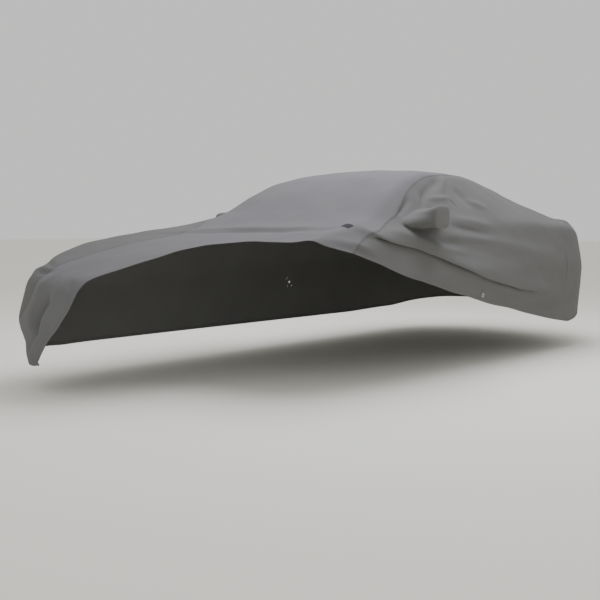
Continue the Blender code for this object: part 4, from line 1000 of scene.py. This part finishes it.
def pocket_points(side):
    """Rings of a pocket from its sewn edge to its end's middle, as one array of rings."""
    base = closed_loop(POCKET_BASE, POCKET_POINTS, side)
    rings = []
    for amount, off in POCKET_EDGE:
        loop = grown(base, amount)
        here, square = cloth_frame(loop[:, 0], loop[:, 1])
        rings.append(here + off * square)
    foot = rings[-1]
    middle = foot.mean(axis=0)
    reach = np.abs(foot - middle).max(axis=0)
    turn = np.arctan2((foot[:, 2] - middle[2]) / reach[2], (foot[:, 0] - middle[0]) / reach[0])
    way = np.array(POCKET_TIP_WAY) / np.hypot(*POCKET_TIP_WAY)
    squarely = (np.abs(np.cos(turn)) ** 4 + np.abs(np.sin(turn)) ** 4) ** -0.25
    run = POCKET_TIP_HALF[0] * squarely * np.cos(turn)
    climb = POCKET_TIP_HALF[1] * squarely * np.sin(turn)
    sag = POCKET_RIGHT_SAGS if side > 0 else 0.0

    def end_ring(share, swell):
        return np.column_stack([POCKET_TIP[0] + share * run * way[0] + swell * way[1],
                                side * (POCKET_TIP[1] + share * run * way[1] + swell * way[0]),
                                POCKET_TIP[2] - sag + share * climb]) - ORIGIN

    tip = end_ring(1.0, 0.0)
    shares = np.linspace(0, 1, POCKET_RINGS + 1)[1:]
    pinches = column(POCKET_SAG, POCKET_SAG_COLUMNS, "pinch", shares)
    for share, pinch in zip(shares, pinches):
        ring = foot * (1 - share) + tip * share
        heart = middle * (1 - share) + tip.mean(axis=0) * share
        rings.append(ring + pinch * (heart - ring))
    rings += [end_ring(share, swell * POCKET_TIP_SWELL) for share, swell in POCKET_END]
    return np.array(rings)


def sewn_sheet(piece, node):
    """Let a sheet that is sewn to a side panel stand for its node and rest on the panel."""
    finish_cloth(piece, lining_knit)
    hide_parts(node)
    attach(piece, "root")


def make_pocket(name, side, node):
    """A pocket's sheet, closed at its end."""
    rings = pocket_points(side)
    count = POCKET_POINTS
    points = np.concatenate([rings.reshape(-1, 3), rings[-1].mean(axis=0)[None]])
    last = np.arange((len(rings) - 1) * count, len(rings) * count)
    middle = np.full(count, len(points) - 1)
    faces = np.concatenate([ring_faces(len(rings), count),
                            np.stack([last, np.roll(last, -1), middle, middle], -1)])
    round_it, out = POCKET_UV
    uv = np.stack(np.meshgrid(np.linspace(0, round_it, count), np.linspace(0, out, len(rings))), -1)
    uv = np.concatenate([uv.reshape(-1, 2), [[round_it / 2, out]]])
    piece = sheet_object(name, points, faces, uv, side_knit_painted_shade, (0, side, 0))
    sewn_sheet(piece, node)


make_pocket("left_pocket", -1, "left_mirror_pocket")
make_pocket("right_pocket", 1, "right_mirror_pocket")


# ------------------------------------------------------------------ the eyelets
# A round of doubled hem cloth on each side, with a two-part ring of nickel-plated brass
# pressed through it for a tie cord.
# Rings of the patch: those that follow the cover, as radius and height off it, and those that
# lie flat from the ring's rim to the hole.
PATCH_EDGE = ((EYELET_PATCH + 0.004, 0.0002), (EYELET_PATCH + 0.003, 0.0011),
              (EYELET_PATCH, 0.0012), (0.028, 0.0008))
PATCH_FLAT = (0.020, 0.0150, 0.009)
EYELET_REACH = 0.01      # distance over which the cloth's directions are taken
# A ring's cross-section: radius, and height out of the cloth.
EYELET_RING = ((0.0071, -0.0016), (0.0078, -0.0022), (0.0140, -0.0024), (0.0155, -0.0019),
               (0.0158, -0.0013), (0.0086, -0.0013), (0.0086, 0.0013), (0.0158, 0.0013),
               (0.0156, 0.0020), (0.0147, 0.0028), (0.0130, 0.0034), (0.0105, 0.0036),
               (0.0085, 0.0032), (0.0074, 0.0023), (0.0070, 0.0010), (0.0070, -0.0008))


def eyelet_frame(side):
    """An eyelet's middle, and the cloth's directions along, down and out there."""
    p, q = EYELET_AT[0], side * EYELET_AT[1]
    centre = cover(p, q)
    along = cover(p + EYELET_REACH, q) - cover(p - EYELET_REACH, q)
    across = cover(p, q + EYELET_REACH) - cover(p, q - EYELET_REACH)
    along /= np.linalg.norm(along)
    out = np.cross(along, across)
    out /= np.linalg.norm(out)
    return centre, along, np.cross(out, along), out


def turned(name, section, frame_of, material):
    """A closed profile turned about the way out of the cloth, with its faces outwards."""
    centre, along, across, out = frame_of
    turn = np.arange(EYELET_TURNS) * 2 * np.pi / EYELET_TURNS
    round_way = np.cos(turn)[:, None] * along + np.sin(turn)[:, None] * across
    radius, height = np.array(section).T
    points = (centre + round_way[:, None] * radius[None, :, None]
              + out * height[None, :, None]).reshape(-1, 3)
    here = np.arange(len(points)).reshape(EYELET_TURNS, len(section))
    there, up = np.roll(here, -1, axis=0), np.roll(here, -1, axis=1)
    beyond = np.roll(there, -1, axis=1)
    faces = np.stack([here, there, beyond, up], -1).reshape(-1, 4)
    return closed_object(name, points, faces.tolist(), material)


def make_eyelet_patch(name, side, node):
    """The round of cloth: flat round the hole, and true to the cover's form further out."""
    centre, along, across, out = eyelet_frame(side)
    middle = np.array([EYELET_AT[0], side * EYELET_AT[1]])
    rings, loops = [], []
    for radius, off in PATCH_EDGE:
        loop = circle(middle, radius, EYELET_TURNS)
        here, square = cloth_frame(loop[:, 0], loop[:, 1])
        rings.append(here + off * square)
        loops.append(loop)
    for radius in PATCH_FLAT:
        loop = circle(middle, radius, EYELET_TURNS)
        flat = loop - middle
        rings.append(centre + flat[:, :1] * along + flat[:, 1:] * across)
        loops.append(loop)
    piece = sheet_object(name, np.concatenate(rings), ring_faces(len(rings), EYELET_TURNS),
                         np.concatenate(loops), side_knit_painted_shade, (0, side, 0))
    sewn_sheet(piece, node)


def plated_brass(name):
    """Nickel-plated brass: a warm grey metal, dulled by fine scratches."""
    material, tree, shader = new_material(name, 0.32, 1.0)
    place = add_node(tree, "ShaderNodeTexCoord").outputs["Object"]
    wear = add_node(tree, "ShaderNodeTexNoise", {"Vector": place, "Scale": 900.0, "Detail": 3.0})
    dulling = add_node(tree, "ShaderNodeMapRange", {"Value": wear.outputs["Fac"], "To Min": 0.24,
                                                    "To Max": 0.46})
    shader.inputs["Base Color"].default_value = linear("#b4b0a4")
    tree.links.new(dulling.outputs["Result"], shader.inputs["Roughness"])
    return material


brass = plated_brass("Nickel-plated brass")
for eyelet_side, eyelet_name in ((-1, "left"), (1, "right")):
    make_eyelet_patch(f"{eyelet_name}_patch", eyelet_side, f"{eyelet_name}_eyelet_patch")
    ring = turned(f"{eyelet_name}_ring", EYELET_RING, eyelet_frame(eyelet_side), brass)
    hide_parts(f"{eyelet_name}_eyelet_ring")
    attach(ring, "root")


# ------------------------------------------------------------------ the label patch
# A bare woven label, sewn to the centre panel by the left seam.
LABEL_AT = (0.452, -0.772)
LABEL_HALF = (0.026, 0.028)
LABEL_GRID = (13, 21)    # points of its mesh along and across
LABEL_OFF = 0.0016
LABEL_THICK = 0.0010


def woven_tape(name):
    """Damask-woven label tape: dark grey and tight, with a fine cross rib."""
    material, tree, shader = new_material(name, 0.9)
    shader.inputs["Specular IOR Level"].default_value = 0.05
    place = add_node(tree, "ShaderNodeTexCoord").outputs["UV"]
    rib = add_node(tree, "ShaderNodeTexWave", {"Vector": place, "Scale": 220.0}, bands_direction="X")
    bump = add_node(tree, "ShaderNodeBump", {"Strength": 0.2, "Distance": 0.0003,
                                             "Height": rib.outputs["Fac"]})
    shader.inputs["Base Color"].default_value = linear("#3f4043")
    tree.links.new(bump.outputs["Normal"], shader.inputs["Normal"])
    return material


label_p, label_q = np.meshgrid(*(at + np.linspace(-1, 1, count) * half for at, count, half
                                 in zip(LABEL_AT, LABEL_GRID, LABEL_HALF)), indexing="ij")
label_points, label_square = cloth_frame(label_p, label_q)
label_points = label_points + LABEL_OFF * label_square
label = sheet_object("label", label_points.reshape(-1, 3), grid_faces(*LABEL_GRID),
                     np.stack([label_p, label_q], -1).reshape(-1, 2),
                     woven_tape("Woven label tape"), (0, 0, 1))
label_wall = label.modifiers.new("Tape thickness", "SOLIDIFY")
label_wall.thickness = LABEL_THICK
label_wall.offset = 0
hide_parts("label_patch")
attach(label, "root")
